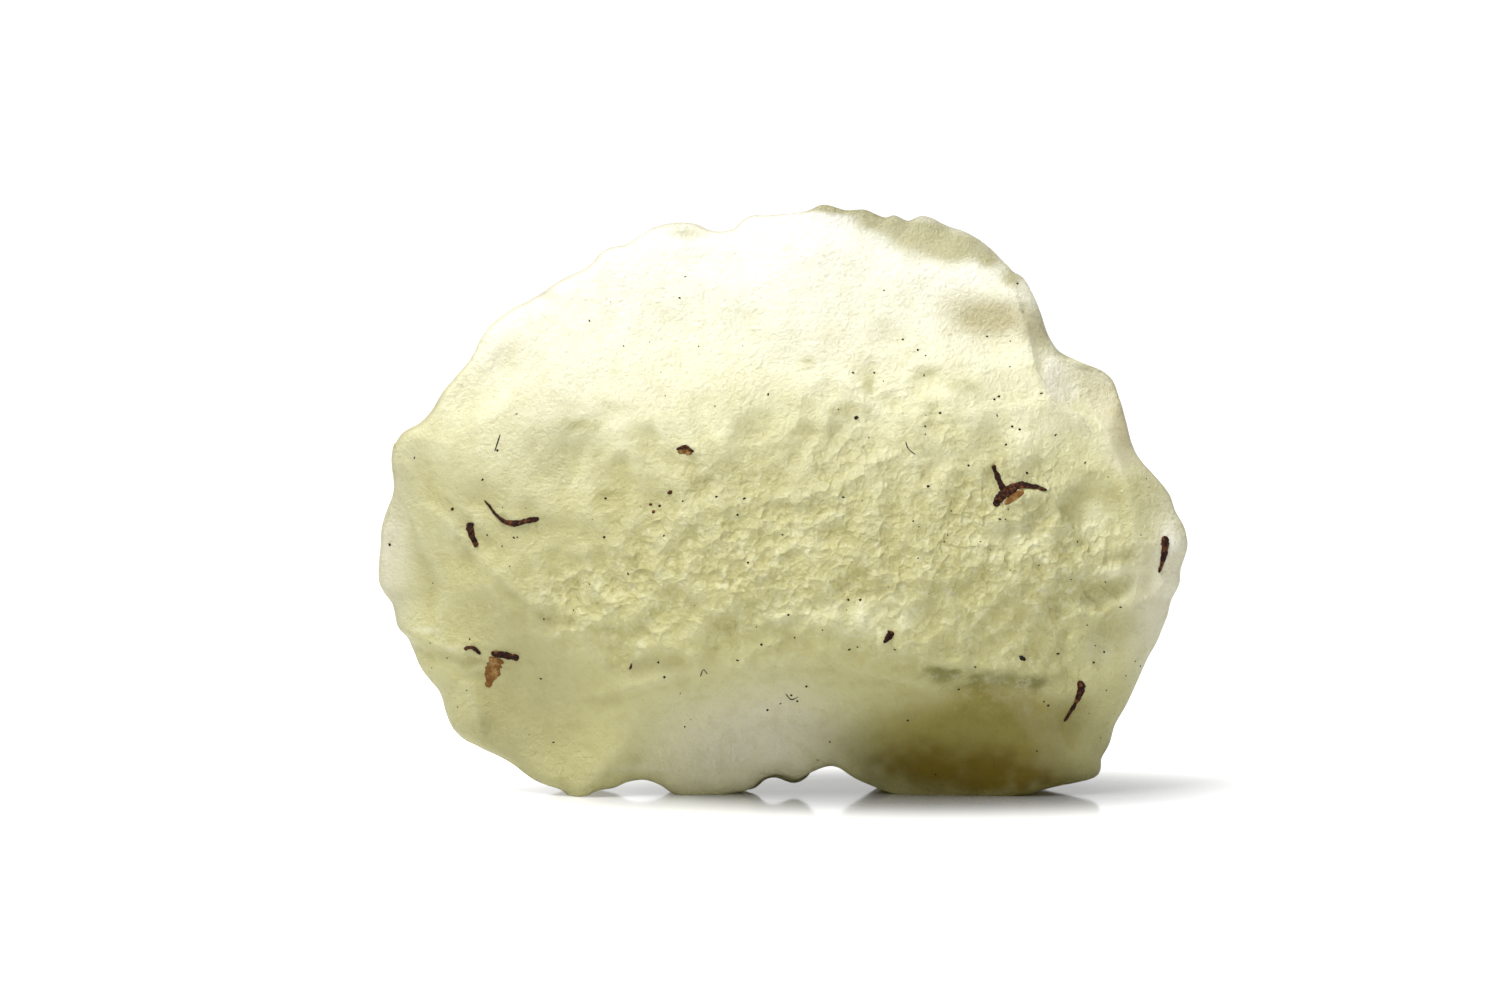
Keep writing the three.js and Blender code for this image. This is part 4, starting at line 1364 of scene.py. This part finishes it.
@dataclass
class Grains:
    """Many small grains caught in the skin, as one joined mesh."""

    name: str
    grains: tuple[Grain, ...]
    scattered: int
    seed: int
    least: float = 0.03
    most: float = 0.065
    around: int = 8

    def build(self, probe: SkinProbe, finish: bpy.types.Material) -> None:
        """Builds the grains on the skin.

        Args:
            probe: Finds the glass's skin.
            finish: Their finish.
        """
        draw = np.random.default_rng(self.seed)
        grains = list(self.grains)
        while len(grains) < len(self.grains) + self.scattered:
            x, z = draw.uniform(-25, 25), draw.uniform(1, 37)
            size = draw.uniform(self.least, self.most)
            stretch = draw.uniform(0.7, 2.2)
            turn = draw.uniform(0, math.pi)
            if probe.y_at(x, z) < -0.8:
                grains.append(Grain(x, z, size * stretch, size, turn))
        points, faces = [], []
        for grain in grains:
            first = len(points)
            middle_x, middle_z = probe.under(grain.x, grain.z)
            ball = [(0.0, 0.0, 1.0)]
            for level in (0.5, 0.0, -0.5):
                for k in range(self.around):
                    angle = 2 * math.pi * k / self.around
                    flat = math.sqrt(1 - level**2)
                    ball.append((flat * math.cos(angle), flat * math.sin(angle), level))
            ball.append((0.0, 0.0, -1.0))
            skin = probe.y_at(middle_x, middle_z)
            for across, up, out in ball:
                lump = 1 + 0.3 * draw.uniform(-1, 1)
                along_x, along_z = grain.long * across * lump, grain.high * up * lump
                x = middle_x + along_x * math.cos(grain.turn) - along_z * math.sin(grain.turn)
                z = middle_z + along_x * math.sin(grain.turn) + along_z * math.cos(grain.turn)
                points.append((x, skin - 0.45 * min(grain.long, grain.high) * (out + 0.4), z))
            faces += self._faces(first)
        piece = make_object(self.name, np.array(points), faces, finish)
        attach(piece, ROOT)
        LOG.info("%s: %d grains", piece.name, len(grains))

    def _faces(self, first: int) -> list[list[int]]:
        """The faces of one grain.

        Args:
            first: Number of the grain's first point.

        Returns:
            Point numbers of each face.
        """
        n = self.around
        last = first + 1 + 3 * n
        faces = [[first, first + 1 + k, first + 1 + (k + 1) % n] for k in range(n)]
        for level in range(2):
            low = first + 1 + level * n
            faces += [[low + k, low + n + k, low + n + (k + 1) % n, low + (k + 1) % n] for k in range(n)]
        low = last - n
        faces += [[last, low + (k + 1) % n, low + k] for k in range(n)]
        return faces


# Clay fills: a place, the depth, and a line of x, z and full width, in mm
FISSURE_CLAYS = tuple(ClayFill(f"{place}_clay", line, depth, node=f"clay_{place}") for place, depth, line in (
    ("fork_blade", 1.2, (
        (14.2, 19.1, 0.4), (14.8, 19.8, 0.6), (15.5, 20.3, 0.5), (16.3, 20.5, 0.34), (17.8, 20.15, 0.16),
    )),
    ("fork_prong", 1.0, ((14.15, 21.85, 0.26), (14.4, 21.1, 0.34), (14.85, 20.1, 0.36))),
    ("upper_left", 1.1, (
        (-19.8, 19.5, 0.14), (-19.0, 18.5, 0.2), (-18.2, 17.95, 0.3), (-17.4, 18.0, 0.36),
        (-16.1, 18.25, 0.26),
    )),
    ("left_stub", 1.0, ((-20.75, 18.0, 0.5), (-20.7, 17.4, 0.44), (-20.3, 16.3, 0.3))),
    ("lower_left_bar", 1.2, ((-19.4, 9.2, 0.3), (-18.4, 9.1, 0.44), (-17.5, 8.85, 0.4))),
    ("lower_left_arc", 0.7, ((-21.2, 9.5, 0.18), (-20.7, 9.6, 0.24), (-20.05, 9.15, 0.22))),
    ("right_edge", 0.9, ((25.6, 17.1, 0.34), (25.65, 16.4, 0.5), (25.5, 15.5, 0.3), (25.25, 14.6, 0.16))),
    ("lower_right", 1.0, (
        (20.0, 7.4, 0.3), (20.05, 6.8, 0.5), (19.85, 6.1, 0.28), (19.3, 5.1, 0.2), (18.95, 4.6, 0.14),
    )),
    ("crescent", 0.6, ((-7.0, 22.85, 0.12), (-6.4, 23.05, 0.2), (-5.8, 22.7, 0.14))),
    ("plug", 0.7, ((7.35, 10.75, 0.4), (7.25, 10.4, 0.46), (6.85, 9.9, 0.16))),
))
# Thin rusty films of clay that have crept out of the fissures
CLAY_FILMS = tuple(ClayFill(f"{place}_film", line, depth, 0.07, crumb=0.3) for place, depth, line in (
    ("lower_left", 0.12, ((-19.0, 8.95, 0.9), (-19.2, 8.2, 0.95), (-19.5, 7.4, 0.6), (-19.6, 6.9, 0.3))),
    ("crescent", 0.1, ((-6.9, 22.7, 0.2), (-6.4, 22.78, 0.5), (-5.9, 22.6, 0.16))),
    ("fork", 0.1, ((14.9, 19.2, 0.16), (15.6, 19.75, 0.5), (16.2, 20.1, 0.2))),
))
# Fine dark hairs, caught on the skin
HAIRS = tuple(ClayFill(f"hair_{place}", line, 0.04, 0.05) for place, line in (
    ("low_left", ((-5.4, 7.6, 0.06), (-5.2, 8.1, 0.07), (-4.9, 7.8, 0.06))),
    ("low_middle", ((0.3, 6.5, 0.06), (0.7, 6.1, 0.07), (1.2, 6.3, 0.06))),
    ("upper_left", ((-18.7, 23.9, 0.06), (-18.9, 23.3, 0.07), (-19.1, 22.7, 0.06))),
    ("middle", ((8.3, 23.4, 0.06), (8.5, 22.9, 0.07), (9.0, 22.5, 0.06))),
))
DARK_GRAINS = table(
    Grain,
    (16.1, 8.9, 0.3, 0.16, -0.3), (5.0, 25.0, 0.16, 0.13), (9.8, 20.4, 0.11, 0.1), (10.6, 25.3, 0.1, 0.08),
    (9.6, 24.4), (12.5, 21.8), (13.7, 30.4), (9.1, 29.5), (8.1, 30.2), (14.5, 26.4), (14.2, 26.2),
    (15.0, 23.2), (16.4, 21.3), (15.4, 24.4), (15.9, 24.2), (-1.3, 9.8, 0.1, 0.08), (0.7, 6.4), (1.1, 6.0),
    (-0.9, 5.4), (1.7, 7.0), (-7.8, 7.6), (-8.2, 8.6), (4.5, 12.8), (5.3, 12.8), (0.5, 11.8), (-2.2, 15.3),
    (-2.9, 18.5), (-4.3, 19.7), (-11.8, 17.0), (-11.7, 19.6), (-7.8, 17.1), (-18.9, 22.8), (15.7, 33.9),
    (20.9, 8.6), (21.6, 9.3), (17.9, 5.7, 0.1, 0.08), (8.5, 4.7), (11.9, 6.8), (14.6, 18.2, 0.1, 0.08),
)
CLAY_CRUMBS = table(
    Grain,
    (-7.4, 20.0, 0.2, 0.13, 0.3), (-8.7, 19.2, 0.12, 0.09), (-8.1, 19.1, 0.09, 0.09),
    (-8.5, 18.7, 0.13, 0.1, 0.8), (-21.9, 18.9, 0.16, 0.1, 0.4), (-10.0, 8.4, 0.3, 0.09, 1.2),
    (-26.1, 16.5, 0.12, 0.1), (-17.6, 17.0, 0.07, 0.05), (-18.6, 16.4, 0.06, 0.05),
)


def main() -> None:
    """Builds the studio and the pieces in order."""
    logging.basicConfig(level=logging.INFO, format="%(message)s")
    Studio().build()
    glass = GlassPiece()
    probe = glass.build()
    clay = DryClay().made()
    for fill in FISSURE_CLAYS:
        fill.build(probe, clay)
    rust = DryClay("rusty_clay", (0.15, 0.062, 0.014), (0.38, 0.24, 0.085), 0.75).made()
    for film in CLAY_FILMS:
        film.build(probe, rust)
    Grains("clay_crumbs", CLAY_CRUMBS, 14, 5).build(probe, clay)
    grain = DryClay("dark_grain", (0.012, 0.009, 0.007), (0.05, 0.025, 0.012), 0.3).made()
    Grains("dark_grains", DARK_GRAINS, 110, 11).build(probe, grain)
    for hair in HAIRS:
        hair.build(probe, grain)


if __name__ == "__main__":
    main()
